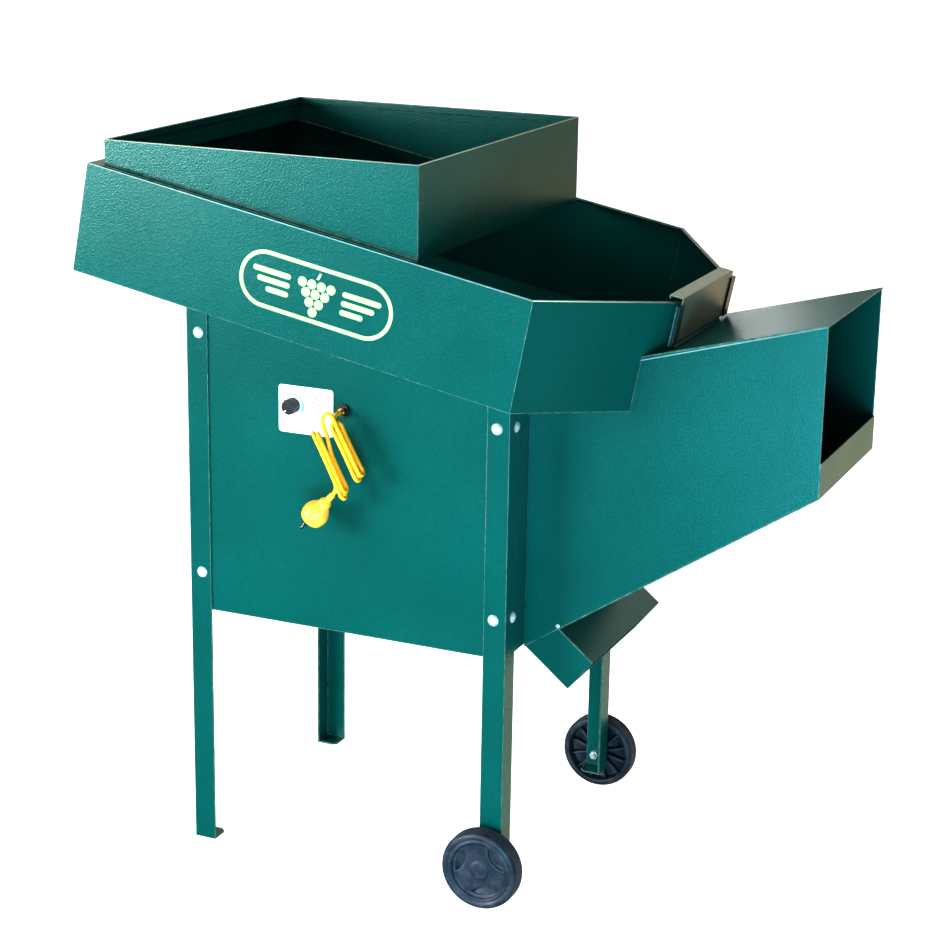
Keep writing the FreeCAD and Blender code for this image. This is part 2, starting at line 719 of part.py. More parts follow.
def chute_bottom():
    top, end, lower, low = chute_corners()
    slope = math.radians(CHUTE_SLOPE)
    inward = V(math.sin(slope), 0, math.cos(slope)) * SHEET
    outline = [(p.x, p.z) for p in (low, lower, lower + inward, low + inward)]
    tab = [(WALL_X, DUCT_LOW_Z), (WALL_X + SHEET, DUCT_LOW_Z),
           (WALL_X + SHEET, BODY_BOTTOM + CHUTE_TAB), (WALL_X, BODY_BOTTOM + CHUTE_TAB)]
    lap = [(WALL_X, DUCT_LOW_Z), (low.x, DUCT_LOW_Z), (low.x + inward.x, low.z + inward.z),
           (WALL_X, low.z + inward.z)]
    return fuse([side_plate(o, DUCT_FRONT + SHEET, DUCT_REAR - SHEET) for o in (outline, tab, lap)])


# ---- blower ----
def scroll_region(grow, y0, y1):
    """Air space of the scroll, grown outward by a sheet where asked."""
    start_drop = BLOWER_Z - (OUTLET_TOP + grow)
    first = -math.asin(start_drop / (SCROLL_START_R + grow))
    last = math.radians(270)
    steps = 8

    def point(angle):
        share = (angle - first) / (last - first)
        r = SCROLL_START_R + (SCROLL_END_R - SCROLL_START_R) * share + grow
        return V(BLOWER_X + r * math.cos(angle), y0, BLOWER_Z + r * math.sin(angle))

    edges = []
    for i in range(steps):
        a = first + (last - first) * i / steps
        b = first + (last - first) * (i + 1) / steps
        edges.append(Part.Arc(point(a), point((a + b) / 2), point(b)).toShape())
    wall = WALL_X - SHEET
    low = OUTLET_LOW - grow
    high = OUTLET_TOP + grow
    corners = [point(last), V(wall, y0, low), V(wall, y0, high), point(first)]
    edges += [Part.makeLine(a, b) for a, b in zip(corners, corners[1:])]
    return Part.Face(Part.Wire(edges)).extrude(V(0, y1 - y0, 0))


def scroll_wrap():
    outer = scroll_region(SHEET, SCROLL_FRONT, SCROLL_REAR)
    return outer.cut(scroll_region(0, SCROLL_FRONT - OVER, SCROLL_REAR + OVER))


def scroll_plate(y0):
    profile = scroll_region(SHEET, y0, y0 + SHEET)
    foot = box(BLOWER_X - SCROLL_FOOT, y0, OUTLET_LOW - SHEET, BLOWER_X + SCROLL_FOOT,
               y0 + SHEET, BLOWER_Z)
    return fuse([profile, foot])


def scroll_front_plate():
    plate = scroll_plate(SCROLL_FRONT - SHEET)
    holes = [rod_y(BLOWER_X, BLOWER_Z, SHAFT_HOLE_R, 0, BODY_DEPTH)] + motor_bolt_holes()
    return plate.cut(holes)


def scroll_rear_plate():
    eye = rod_y(BLOWER_X, BLOWER_Z, INLET_R + INLET_PLAY, 0, BODY_DEPTH)
    return scroll_plate(SCROLL_REAR).cut(eye)


def ring_y(y0, y1, r0, r1):
    hole = rod_y(BLOWER_X, BLOWER_Z, r0, y0 - OVER, y1 + OVER)
    return rod_y(BLOWER_X, BLOWER_Z, r1, y0, y1).cut(hole)


def inlet_ring():
    face = SCROLL_REAR + SHEET
    return fuse([ring_y(face - INLET_DEPTH, face + SHEET, INLET_R - SHEET, INLET_R),
                 ring_y(face, face + SHEET, INLET_R - SHEET, INLET_R + INLET_FLANGE)])


def inlet_guard():
    """Flat-bar guard over the blower's eye: three rings on two crossed bars."""
    y0 = SCROLL_REAR + 2 * SHEET
    y1 = y0 + GUARD_BAR
    rings = [ring_y(y0, y1, r, r + GUARD_BAR) for r in GUARD_RINGS]
    reach = INLET_R + INLET_FLANGE - GUARD_INSET
    bars = []
    for turn in (45, 135):
        bar = box(-reach, y0, -GUARD_BAR / 2, reach, y1, GUARD_BAR / 2)
        bar.rotate(V(0, 0, 0), V(0, 1, 0), turn)
        bar.translate(V(BLOWER_X, 0, BLOWER_Z))
        bars.append(bar)
    return fuse(bars + rings)


def blower_rails():
    """Two angle bars under the scroll, across the cabinet."""
    top = OUTLET_LOW - SHEET
    rails = []
    for x in (BLOWER_X - SCROLL_FOOT, BLOWER_X + SCROLL_FOOT - RAIL_SIZE):
        flat = box(x, PANEL_INNER, top - RAIL_SHEET, x + RAIL_SIZE, BODY_DEPTH - PANEL_INNER, top)
        web = box(x, PANEL_INNER, top - RAIL_SIZE, x + RAIL_SHEET, BODY_DEPTH - PANEL_INNER, top)
        rails.append(fuse([flat, web]))
    return rails


def blower_wheel():
    back = SCROLL_FRONT + FAN_GAP
    front = back + WHEEL_FAN_WIDTH
    disc = ring_y(back, back + SHEET, SHAFT_R, WHEEL_FAN_R)
    shroud = ring_y(front - SHEET, front, WHEEL_FAN_EYE_R, WHEEL_FAN_R)
    bore = SHAFT_R + PRESS_PLAY
    hub_start = back - FAN_HUB_BEHIND
    hub = ring_y(hub_start, hub_start + FAN_HUB_LENGTH, bore, SHAFT_R + FAN_HUB_WALL)
    blades = []
    length = (WHEEL_FAN_R - WHEEL_FAN_EYE_R) / math.cos(math.radians(BLADE_LEAN)) - BLADE_TRIM
    for i in range(BLADES):
        blade = box(0, back + SHEET / 2, -SHEET / 2, length, front - SHEET / 2, SHEET / 2)
        blade.rotate(V(0, 0, 0), V(0, 1, 0), BLADE_LEAN)
        blade.translate(V(WHEEL_FAN_EYE_R + BLADE_TRIM, 0, 0))
        blade.rotate(V(0, 0, 0), V(0, 1, 0), 360 / BLADES * i)
        blade.translate(V(BLOWER_X, 0, BLOWER_Z))
        blades.append(blade)
    outside = ring_y(back - PAST, front + PAST, WHEEL_FAN_R, 2 * WHEEL_FAN_R)
    hole = rod_y(BLOWER_X, BLOWER_Z, bore, back - PAST, front)
    return fuse([disc, shroud, hub] + blades).cut([outside, hole])


# ---- motor, drive end at the scroll ----
def motor_drive_face():
    return SCROLL_FRONT - SHEET


def motor_bolt_places():
    return [(BLOWER_X + MOTOR_FLANGE_BOLT_R * math.cos(math.radians(a)),
             BLOWER_Z + MOTOR_FLANGE_BOLT_R * math.sin(math.radians(a))) for a in (45, 135, 225, 315)]


def motor_bolt_holes():
    return [rod_y(x, z, BOLT_R + RIVET_PLAY, 0, BODY_DEPTH) for x, z in motor_bolt_places()]


def motor_flange():
    face = motor_drive_face()
    inner = face - MOTOR_FLANGE_H
    disc = ring_y(inner, face, SHAFT_R + SHAFT_CLEAR, MOTOR_FLANGE_R)
    boss = ring_y(inner - BEARING_H, face, SHAFT_R + SHAFT_CLEAR, BEARING_R + BEARING_WALL)
    seat = rod_y(BLOWER_X, BLOWER_Z, BEARING_R + PRESS_PLAY, inner - BEARING_H - OVER, inner)
    return fuse([disc, boss]).cut([seat] + motor_bolt_holes())


def motor_housing():
    face = motor_drive_face() - MOTOR_FLANGE_H
    start = face - MOTOR_LENGTH
    shell = ring_y(start, face, MOTOR_R - MOTOR_WALL, MOTOR_R)
    fins = []
    for i in range(MOTOR_FINS):
        fin = box(MOTOR_R - OVER, start + MOTOR_FIN_END, -MOTOR_FIN_SHEET / 2,
                  MOTOR_R + MOTOR_FIN, face - MOTOR_FIN_END, MOTOR_FIN_SHEET / 2)
        fin.rotate(V(0, 0, 0), V(0, 1, 0), 360 / MOTOR_FINS * (i + 0.5))
        fin.translate(V(BLOWER_X, 0, BLOWER_Z))
        fins.append(fin)
    end = ring_y(start, start + MOTOR_END, SHAFT_R + SHAFT_CLEAR, MOTOR_R - OVER)
    boss = ring_y(start, start + MOTOR_END + BEARING_H, BEARING_R + PRESS_PLAY,
                  BEARING_R + BEARING_WALL)
    terminal_y = start + TERMINAL_START
    terminal = box(BLOWER_X - TERMINAL_SIZE / 2, terminal_y, BLOWER_Z + MOTOR_R - TERMINAL_SINK,
                   BLOWER_X + TERMINAL_SIZE / 2, terminal_y + TERMINAL_SIZE,
                   BLOWER_Z + MOTOR_R + TERMINAL_UP)
    return fuse([shell, end, boss, terminal] + fins)


def core_ring(r0, r1):
    """Ring as long as the motor's core, at the core's place."""
    middle = motor_drive_face() - MOTOR_FLANGE_H - MOTOR_LENGTH / 2 + STATOR_SHIFT
    return ring_y(middle - STATOR_LENGTH / 2, middle + STATOR_LENGTH / 2, r0, r1)


def motor_stator():
    return core_ring(ROTOR_R + AIR_GAP, MOTOR_R - MOTOR_WALL)


def motor_rotor():
    return core_ring(SHAFT_R + PRESS_PLAY, ROTOR_R)


def motor_bearings():
    drive = motor_drive_face() - MOTOR_FLANGE_H - BEARING_H
    rear = motor_drive_face() - MOTOR_FLANGE_H - MOTOR_LENGTH + MOTOR_END
    return [ring_y(y, y + BEARING_H, SHAFT_R + SHAFT_PLAY, BEARING_R) for y in (drive, rear)]


def motor_shaft():
    """Shaft with the motor's small cooling blades at its rear end."""
    start = motor_drive_face() - MOTOR_FLANGE_H - MOTOR_LENGTH - COWL_DEPTH + COOLING_GAP
    fan = []
    for i in range(COOLING_BLADES):
        blade = box(SHAFT_R - OVER, start, -MOTOR_FIN_SHEET / 2,
                    MOTOR_R - COOLING_INSET, start + COOLING_DEPTH, MOTOR_FIN_SHEET / 2)
        blade.rotate(V(0, 0, 0), V(0, 1, 0), 360 / COOLING_BLADES * i)
        blade.translate(V(BLOWER_X, 0, BLOWER_Z))
        fan.append(blade)
    return fuse([rod_y(BLOWER_X, BLOWER_Z, SHAFT_R, start, SCROLL_FRONT + SHAFT_REACH)] + fan)


def motor_fan_cowl():
    start = motor_drive_face() - MOTOR_FLANGE_H - MOTOR_LENGTH
    end = start - COWL_DEPTH
    shell = ring_y(end, start, MOTOR_R - SHEET, MOTOR_R)
    cap = rod_y(BLOWER_X, BLOWER_Z, MOTOR_R, end, end + SHEET)
    slots = []
    for i in range(COWL_SLOTS):
        slot = box(COWL_SLOT_START, end - OVER, -COWL_SLOT_WIDTH / 2,
                   MOTOR_R - COWL_SLOT_EDGE, end + SHEET + OVER, COWL_SLOT_WIDTH / 2)
        slot.rotate(V(0, 0, 0), V(0, 1, 0), 360 / COWL_SLOTS * i)
        slot.translate(V(BLOWER_X, 0, BLOWER_Z))
        slots.append(slot)
    return fuse([shell, cap]).cut(slots)


def motor_bolts():
    bolts = []
    head = motor_drive_face() - MOTOR_FLANGE_H
    for x, z in motor_bolt_places():
        bolts.append(fuse([hexagon(x, z, NUT_R, head - MOTOR_HEAD_H, head),
                           rod_y(x, z, BOLT_R, head - OVER, SCROLL_FRONT + SHEET)]))
    return bolts


# ---- controls ----
def control_plate():
    x0 = PLATE_X - PLATE_WIDTH / 2
    z0 = PLATE_Z - PLATE_HEIGHT / 2
    plate = box(x0, PANEL_FACE - PLATE_SHEET, z0, x0 + PLATE_WIDTH, PANEL_FACE, z0 + PLATE_HEIGHT)
    corners = [e for e in plate.Edges if abs(e.Vertexes[0].Y - e.Vertexes[1].Y) > PLATE_SHEET / 2]
    plate = plate.makeFillet(PLATE_CORNER, corners)
    return plate.cut(rod_y(KNOB_X, KNOB_Z, SPINDLE_HOLE_R, 0, PAST))


def control_knob():
    back = PANEL_FACE - PLATE_SHEET - KNOB_GAP
    face = back - KNOB_H
    grip = rod_y(KNOB_X, KNOB_Z, KNOB_R, face, back)
    grip = grip.makeChamfer(KNOB_BEVEL, [e for e in grip.Edges if e.BoundBox.YMax < back - OVER])
    flutes = []
    for i in range(KNOB_FLUTES):
        a = math.radians(360 / KNOB_FLUTES * (i + 0.5))
        far = KNOB_R + FLUTE_OUT
        flutes.append(rod_y(KNOB_X + far * math.cos(a), KNOB_Z + far * math.sin(a),
                            FLUTE_R, face - OVER, back - FLUTE_LEFT))
    spindle = rod_y(KNOB_X, KNOB_Z, SPINDLE_R, back - OVER, back + SPINDLE_LENGTH)
    return fuse([grip.cut(flutes), spindle])


def speed_controller():
    """Box behind the plate, open at the rear, with the spindle's bearing inside."""
    x0 = PLATE_X - PLATE_WIDTH / 2
    x1 = GLAND_X + GLAND_R + CONTROLLER_PAST
    z0 = PLATE_Z - PLATE_HEIGHT / 2
    z1 = z0 + PLATE_HEIGHT
    y1 = PANEL_INNER + CONTROLLER_DEPTH
    t = CONTROLLER_WALL
    inside = box(x0 + t, PANEL_INNER + t, z0 + t, x1 - t, y1 + OVER, z1 - t)
    shell = box(x0, PANEL_INNER, z0, x1, y1, z1).cut(inside)
    boss = rod_y(KNOB_X, KNOB_Z, SPINDLE_BOSS_R, PANEL_INNER, PANEL_INNER + SPINDLE_BOSS_H)
    holes = [rod_y(KNOB_X, KNOB_Z, SPINDLE_R + SPINDLE_PLAY, 0, PANEL_INNER + SPINDLE_BORE),
             rod_y(GLAND_X, GLAND_Z, GLAND_HOLE_R, 0, PANEL_INNER + PAST)]
    return fuse([shell, boss]).cut(holes)


def cable_gland():
    return fuse([rod_y(GLAND_X, GLAND_Z, GLAND_R, PANEL_FACE - GLAND_H, PANEL_FACE),
                 rod_y(GLAND_X, GLAND_Z, GLAND_THREAD_R, PANEL_FACE - OVER,
                       PANEL_INNER + GLAND_THREAD_IN)])


def gland_face():
    return PANEL_FACE - GLAND_H - GLAND_NUT_H


def gland_nut():
    neck = rod_y(GLAND_X, GLAND_Z, GLAND_NECK_R, gland_face(), PANEL_FACE - GLAND_H)
    grip = hexagon(GLAND_X, GLAND_Z, GLAND_NUT_R, gland_face() + GLAND_NECK_H,
                   PANEL_FACE - GLAND_H)
    return fuse([neck, grip])


# ---- mains lead ----
def hank_back():
    return gland_face() - HANK_OFF


def mains_cord():
    """Straight stub from the gland to the tied loops."""
    return rod_y(GLAND_X, GLAND_Z, CORD_R, hank_back(), gland_face())


def bundle(a, b, half):
    """Round-ended slab round a bundle of strands between two (x, z) places."""
    y0 = hank_back() - HANK_THICK
    y1 = hank_back()
    along = V(b[0] - a[0], 0, b[1] - a[1])
    side = V(-along.z, 0, along.x).normalize() * half
    pa = V(a[0], y0, a[1])
    pb = V(b[0], y0, b[1])
    slab = loop([pa + side, pa - side, pb - side, pb + side]).extrude(V(0, y1 - y0, 0))
    return fuse([slab, rod_y(a[0], a[1], half, y0, y1), rod_y(b[0], b[1], half, y0, y1)])


PLUG_START = V(301, 0, 699)
PLUG_WAY = V(-0.654, 0, -0.757).normalize()


def cord_hank():
    middle = hank_back() - HANK_THICK / 2
    start = V(PLUG_START.x, middle, PLUG_START.z)
    tail = Part.makeCylinder(CORD_R, TAIL_LENGTH, start - PLUG_WAY * TAIL_LENGTH, PLUG_WAY)
    right = bundle((300, 827), (350, 741), HANK_HALF)
    leg = bundle((298, 826), (280, 796), LEG_HALF)
    left = bundle((274, 794), (318, 712), HANK_HALF)
    return fuse([right, leg, left, tail])


def mains_plug():
    """Turned body with a strain relief, about its own axis."""
    mid = PLUG_RELIEF + PLUG_LENGTH
    thin, thick, wide = [CORD_R + extra for extra in PLUG_NECK]
    profile = [V(0, 0, 0), V(thin, 0, 0), V(thick, 0, PLUG_RELIEF - PLUG_COLLAR),
               V(wide, 0, PLUG_RELIEF)]
    line = Part.makePolygon(profile).Edges
    rim = V(PLUG_R * PLUG_FACE, 0, mid)
    widest = V(PLUG_R, 0, PLUG_RELIEF + PLUG_LENGTH * PLUG_WIDEST)
    bulge = Part.Arc(profile[-1], widest, rim).toShape()
    close = Part.makePolygon([rim, V(0, 0, mid), V(0, 0, 0)]).Edges
    solid = Part.Face(Part.Wire(line + [bulge] + close)).revolve(V(0, 0, 0), V(0, 0, 1), 360)
    place = (PLUG_START.x, hank_back() - HANK_THICK / 2, PLUG_START.z)
    return aim(solid, place, (PLUG_WAY.x, 0, PLUG_WAY.z))


def plug_pins():
    face = PLUG_START + PLUG_WAY * (PLUG_RELIEF + PLUG_LENGTH)
    middle = hank_back() - HANK_THICK / 2
    pins = []
    for side in (-1, 1):
        start = V(face.x, middle + side * PIN_SPACING / 2, face.z)
        pins.append(Part.makeCylinder(PIN_R, PIN_LENGTH, start, PLUG_WAY))
    return pins


# ---- running wheels ----
def running_wheel():
    """Front wheel, its outer face towards -Y."""
    rear = -SPACER_LENGTH
    front = rear - WHEEL_WIDTH
    dish = front + WHEEL_DISH
    ring = WHEEL_R - WHEEL_RING
    x, z = AXLE_X, WHEEL_R
    tyre = rod_y(x, z, WHEEL_R, front, rear).cut(rod_y(x, z, ring, front - OVER, rear + OVER))
    edges = [e for e in tyre.Edges
             if hasattr(e.Curve, "Radius") and abs(e.Curve.Radius - WHEEL_R) < SHEET]
    tyre = tyre.makeFillet(WHEEL_EDGE, edges)
    web = rod_y(x, z, ring + OVER, dish, dish + WHEEL_WEB)
    hub = rod_y(x, z, HUB_R, front + HUB_DISH, rear)
    ribs = []
    for i in range(WHEEL_RIBS):
        rib = box(HUB_R - OVER, dish + OVER, -WHEEL_RIB_SHEET / 2,
                  ring + OVER, rear - WHEEL_RIB_GAP, WHEEL_RIB_SHEET / 2)
        rib.rotate(V(0, 0, 0), V(0, 1, 0), 360 / WHEEL_RIBS * i)
        rib.translate(V(x, 0, z))
        ribs.append(rib)
    bore = rod_y(x, z, AXLE_R + AXLE_PLAY, front - PAST, rear + PAST)
    recess = rod_y(x, z, HUB_RECESS_R, front - OVER, front + HUB_DISH + HUB_RECESS)
    return fuse([tyre, web, hub] + ribs).cut(wheel_pockets(front) + [bore, recess])


def wheel_pockets(front):
    """Lens-shaped hollows in the wheel's outer face."""
    y1 = front + WHEEL_DISH + WHEEL_WEB - POCKET_LEFT
    pockets = []
    for i in range(POCKETS):
        lens = rod_y(POCKET_FAR, 0, POCKET_R, front - OVER, y1)
        lens = lens.common(rod_y(0, 0, WHEEL_R - WHEEL_RING - WHEEL_DISH, front - OVER, y1))
        lens.rotate(V(0, 0, 0), V(0, 1, 0), -360 / POCKETS * i - POCKET_TURN)
        lens.translate(V(AXLE_X, 0, WHEEL_R))
        pockets.append(lens)
    return pockets


def axle_bolt():
    head = -SPACER_LENGTH - WHEEL_WIDTH + HUB_DISH + HUB_RECESS - AXLE_HEAD_GAP
    end = LEG_SHEET + AXLE_NUT_H + AXLE_END
    return fuse([hexagon(AXLE_X, WHEEL_R, AXLE_HEX_R, head - AXLE_HEAD_H, head),
                 rod_y(AXLE_X, WHEEL_R, AXLE_R, head - OVER, end)])


def axle_hole():
    """Space of the bolt through the nut and the spacer."""
    return rod_y(AXLE_X, WHEEL_R, AXLE_R + THREAD_PLAY, -SPACER_LENGTH - OVER, LEG_SHEET + 2 * PAST)


def axle_nut():
    return hexagon(AXLE_X, WHEEL_R, AXLE_HEX_R, LEG_SHEET, LEG_SHEET + AXLE_NUT_H).cut(axle_hole())


def axle_spacer():
    return rod_y(AXLE_X, WHEEL_R, SPACER_R, -SPACER_LENGTH, 0).cut(axle_hole())


def both_sides(piece):
    return [piece, mirror_y(piece)]


# ---- the machine ----
os.makedirs("parts", exist_ok=True)

save("front_panel", front_panel(False))
save("rear_panel", front_panel(True))
save("left_side_panel", side_panel(False))
save("right_side_panel", side_panel(True))
save("leg_front_left", leg(False, False))
save("leg_rear_left", leg(False, True))
save("leg_front_right", leg(True, False))
save("leg_rear_right", leg(True, True))
save("leg_bolts", leg_bolts())
save("leg_nuts", leg_nuts())

save("tray_front_wall", tray_wall())
save("tray_rear_wall", mirror_y(tray_wall()))
save("tray_end_wall", tray_end_wall())
save("tray_floor", tray_floor())
save("twig_grid", twig_grid())
save("gate", gate())
save("gate_guide_front", gate_guide())
save("gate_guide_rear", mirror_y(gate_guide()))
save("small_rivets", small_rivets())

save("hopper_front_wall", hopper_side())
save("hopper_rear_wall", mirror_y(hopper_side()))
save("hopper_left_wall", hopper_end(HOPPER_LEFT, 1))
save("hopper_right_wall", hopper_end(HOPPER_RIGHT - SHEET, -1))

save("duct_front_plate", duct_side())
save("duct_rear_plate", mirror_y(duct_side()))
save("duct_top_panel", duct_top_panel())
save("duct_floor_panel", duct_floor_panel())
save("chute_front_plate", chute_side())
save("chute_rear_plate", mirror_y(chute_side()))
save("chute_top_plate", chute_top())
save("chute_bottom_plate", chute_bottom())

save("scroll_wrap", scroll_wrap())
save("scroll_front_plate", scroll_front_plate())
save("scroll_rear_plate", scroll_rear_plate())
save("inlet_ring", inlet_ring())
save("inlet_guard", inlet_guard())
save("blower_rails", blower_rails())
save("blower_wheel", blower_wheel())
save("motor_flange", motor_flange())
save("motor_housing", motor_housing())
save("motor_stator", motor_stator())
save("motor_rotor", motor_rotor())
save("motor_bearings", motor_bearings())
save("motor_shaft", motor_shaft())
save("motor_fan_cowl", motor_fan_cowl())
save("motor_bolts", motor_bolts())

save("control_plate", control_plate())
save("control_knob", control_knob())
save("speed_controller", speed_controller())
save("cable_gland", cable_gland())
save("gland_nut", gland_nut())
save("mains_cord", mains_cord())
save("cord_hank", cord_hank())
save("mains_plug", mains_plug())
save("plug_pins", plug_pins())

save("front_wheel", running_wheel())
save("rear_wheel", mirror_y(running_wheel()))
save("axle_bolts", both_sides(axle_bolt()))
save("axle_nuts", both_sides(axle_nut()))
save("axle_spacers", both_sides(axle_spacer()))
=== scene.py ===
import json
import math

import bmesh
import bpy
from mathutils import Matrix, Vector


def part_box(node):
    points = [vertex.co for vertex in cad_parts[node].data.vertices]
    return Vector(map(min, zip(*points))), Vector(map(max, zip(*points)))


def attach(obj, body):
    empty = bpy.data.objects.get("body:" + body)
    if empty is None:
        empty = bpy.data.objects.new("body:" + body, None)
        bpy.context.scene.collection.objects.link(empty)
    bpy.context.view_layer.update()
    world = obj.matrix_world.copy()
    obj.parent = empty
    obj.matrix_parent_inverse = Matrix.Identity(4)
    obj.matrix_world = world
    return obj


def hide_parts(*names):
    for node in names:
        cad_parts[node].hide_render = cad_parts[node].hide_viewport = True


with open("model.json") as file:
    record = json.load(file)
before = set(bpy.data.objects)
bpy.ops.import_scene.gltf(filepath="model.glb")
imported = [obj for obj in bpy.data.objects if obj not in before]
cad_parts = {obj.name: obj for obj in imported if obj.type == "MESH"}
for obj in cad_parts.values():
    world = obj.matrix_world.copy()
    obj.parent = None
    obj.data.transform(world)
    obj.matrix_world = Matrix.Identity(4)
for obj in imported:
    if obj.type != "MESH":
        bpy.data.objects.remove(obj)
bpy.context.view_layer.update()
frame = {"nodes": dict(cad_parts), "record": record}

# Looks of a small electric fruit cleaner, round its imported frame.  Metres, +X from the hopper
# to the leaf duct's mouth, +Y from the control side to the rear, +Z up from the floor.

MM = 0.001

# ---- camera ----
CAMERA_PLACE = (1.4761, -3.4735, 1.7833)
CAMERA_YAW = 23.87          # degrees to the left of straight ahead
CAMERA_PITCH = 16.07        # degrees down
CAMERA_ROLL = 0.93
CAMERA_LENS = 85.87
CAMERA_SHIFT = (0.0068, -0.0065)

# ---- colours of the powder coat ----
PAINT = (0.0, 0.100, 0.088)
PAINT_DEEP = (0.0, 0.068, 0.060)
# pale of the folds, mixed in along every corner: partly edge wear, partly a painted highlight
PALE_WEAR_AND_HIGHLIGHT = (0.42, 0.46, 0.38)
# nodes given copies of the coat with painted light: a painted reflection on the gate, painted shade
# on its guides
PAINTED_LIGHT_COATS = {"gate": "gate_painted_reflection", "gate_guide_front": "guide_painted_shade",
               "gate_guide_rear": "guide_painted_shade"}

# ---- the mains lead and its hank; mm from the gland unless said ----
CORD_D = 7 * MM
GLAND = (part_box("gland_nut")[0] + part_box("gland_nut")[1]) / 2
GLAND_FACE_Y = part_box("gland_nut")[0].y
BACK, FRONT = 16.6, 32.0    # the hank's two layers, in front of the gland's face
STRAND_BOW = 0.8
RIGHT_ENDS = ((3, -9), (50, -95))       # top and bottom of each bundle
LEFT_ENDS = ((-28, -39), (16, -125))
RIGHT_FIRST, RIGHT_SECOND = -4.8, 5.4   # strands across the right bundle
LEFT_STRANDS = (7.8, 0.0, -7.8)
# the lead's points away from the bundles: to the right, forward of the gland's face, and up
LEAD_STUB = ((0, 0, 0), (0, 5, 0), (-0.2, 11.5, -0.5), (-0.8, 16.6, -6))
LEAD_OVER = ((6, 32.5, -2), (3, 33.5, 4), (-2.5, 34, 7.5), (-8.5, 34, 5.5), (-12.5, 33, 0),
             (-14.5, 31, -8), (-15, 28, -17), (-14.5, 22, -27), (-13, 17.5, -37))
PLUG_NECK = (1, 24, -134)
LEAD_TO_PLUG = ((1.5, 20, -111), (6.5, 23, -120), (6, 24, -128), PLUG_NECK)
PLUG_WAY = Vector((-0.654, 0, -0.757)).normalized()
# (distance from the neck, radius) along the plug, mm
PLUG_PROFILE = [(0, 4.6), (2, 5.4), (4, 5.4), (5, 4.7), (7, 4.7), (8, 5.9), (10, 5.9), (11, 5.1),
                (13, 5.1), (14, 6.6), (17, 7.6), (19, 10.2), (21, 10.8), (23, 10.4), (26, 11.0),
                (31, 14.5), (38, 19.4), (45, 22.2), (52, 22.8), (58, 22.0), (62, 20.6),
                (64.6, 19.2), (65.8, 17.6)]
PLUG_STEPS = 48
PLUG_GRIP = (0.10, 44, 13)  # share flattened at most, where, and over what length
PLUG_END_INSET = 2.4 * MM

# ---- running wheels, mm; profiles are (radius, depth behind the outer face) ----
WHEEL_RADIUS = 70
WHEEL_STEPS = 360
WHEEL_FACE = [(0, 3.2), (6, 3.2), (12, 3.4), (15.2, 3.8), (16.4, 4.6), (17, 5.6), (18, 6.0)]
WHEEL_DISC = [19 + 1.0 * i for i in range(29)]
WHEEL_DISC_DEPTH = 6.0
WHEEL_RIM = [(48.4, 5.6), (49.4, 4.6), (50.2, 3.0), (51.2, 1.7), (52.8, 1.1), (54.4, 1.5),
             (55.4, 2.5), (56.2, 3.1), (57, 2.7), (58.2, 1.4), (60.2, 0.5), (62.6, 0.3),
             (65, 1.1), (67, 2.8), (68.4, 5.2), (69.3, 7.6)]
WHEEL_TREAD = [8.6 + 0.9 * i for i in range(24)]        # depths across the tread
WHEEL_BACK = [(69.3, 30.4), (68.4, 33), (66.8, 35.6), (64.4, 37.3), (61.6, 37.9), (58.6, 37.7),
              (57.2, 36.8), (56.6, 35), (56.2, 24), (56, 17.5), (55, 16.4), (18.6, 16.4),
              (17.4, 17.4), (17, 22), (16.8, 35.6), (15.8, 36.8), (6.4, 37), (5.2, 35.8),
              (5.1, 13), (11.6, 12), (11.9, 6), (11, 5), (0, 5)]
TREAD_BLOCKS, TREAD_DEPTH = 45, 1.3
TREAD_SLANT, TREAD_EDGE = 0.9, 4
POCKET_ANGLES = (40, 160, 280)
POCKET_CENTRE, POCKET_RADIUS, POCKET_EDGE = 62.0, 33.5, 46.0
POCKET_DEPTH = 9.0
POCKET_WALL, POCKET_RIM = 1.1, 1.3      # widths of the steep sides
POCKET_RISE, POCKET_RUN = 0.55, 14      # its floor rises by this share over this width
WHEEL_RIBS = 12
# a rib's corners: radius, depth, half its thickness
RIB_CORNERS = ((16.9, 16, 1.4), (16.9, 33, 0.9), (56.4, 29, 0.9), (56.4, 16, 1.4))

# ---- badge on the tray's wall, mm ----
BADGE_PLACE = (449, 89)     # its middle, along and up the wall
BADGE_FRAME = ((140, 48), (133, 41))    # half length and end radius, outside and inside
BERRY_ROWS = (4, 3, 2, 1)
BERRY_RADIUS, BERRY_PITCH, BERRY_DROP, BERRY_TOP = 8.1, 17.4, 15, 15
STALK = [(-2.5, 25), (2.5, 25), (6, 35.5), (2, 36.5)]
BARS = ((15, 35), (0, 30), (-15, 21))   # height and half length
BAR_RADIUS, BAR_START = 4.6, 47

# ---- print on the control plate, mm and degrees ----
PRINT_THICK = 0.12
SCALE_FROM, SCALE_TO = 215, -35
SCALE_INNER = 17.5
SCALE_OUTER = (18.2, 21.5)  # at its start and its end
TICKS, TICK_STEP = 11, 25
TICK_FOOT, TICK_TIP, TICK_HALF = 22.8, 25, 0.5
FAN_PLACE = (70.0, 58.0)
FAN_RING = (13, 12)
FAN_HUB = 2
FAN_TURNS = (90, 210, 330)
FAN_BLADE = ((3, -8), (7, -26), (10.6, -22), (11, 0), (8, 12), (3, 14))  # radius and swing
POINTER_ANGLE = 231
POINTER_FOOT, POINTER_SHOULDER, POINTER_TIP, POINTER_HALF = 6.5, 11.6, 12.1, 0.9
POINTER_THICK = 0.35

# ---- the hopper's foot and the rounded rims, mm ----
FLANGE_WIDTH = 10.0
FLANGE_END = 1              # how far its ends stop short of the wall's
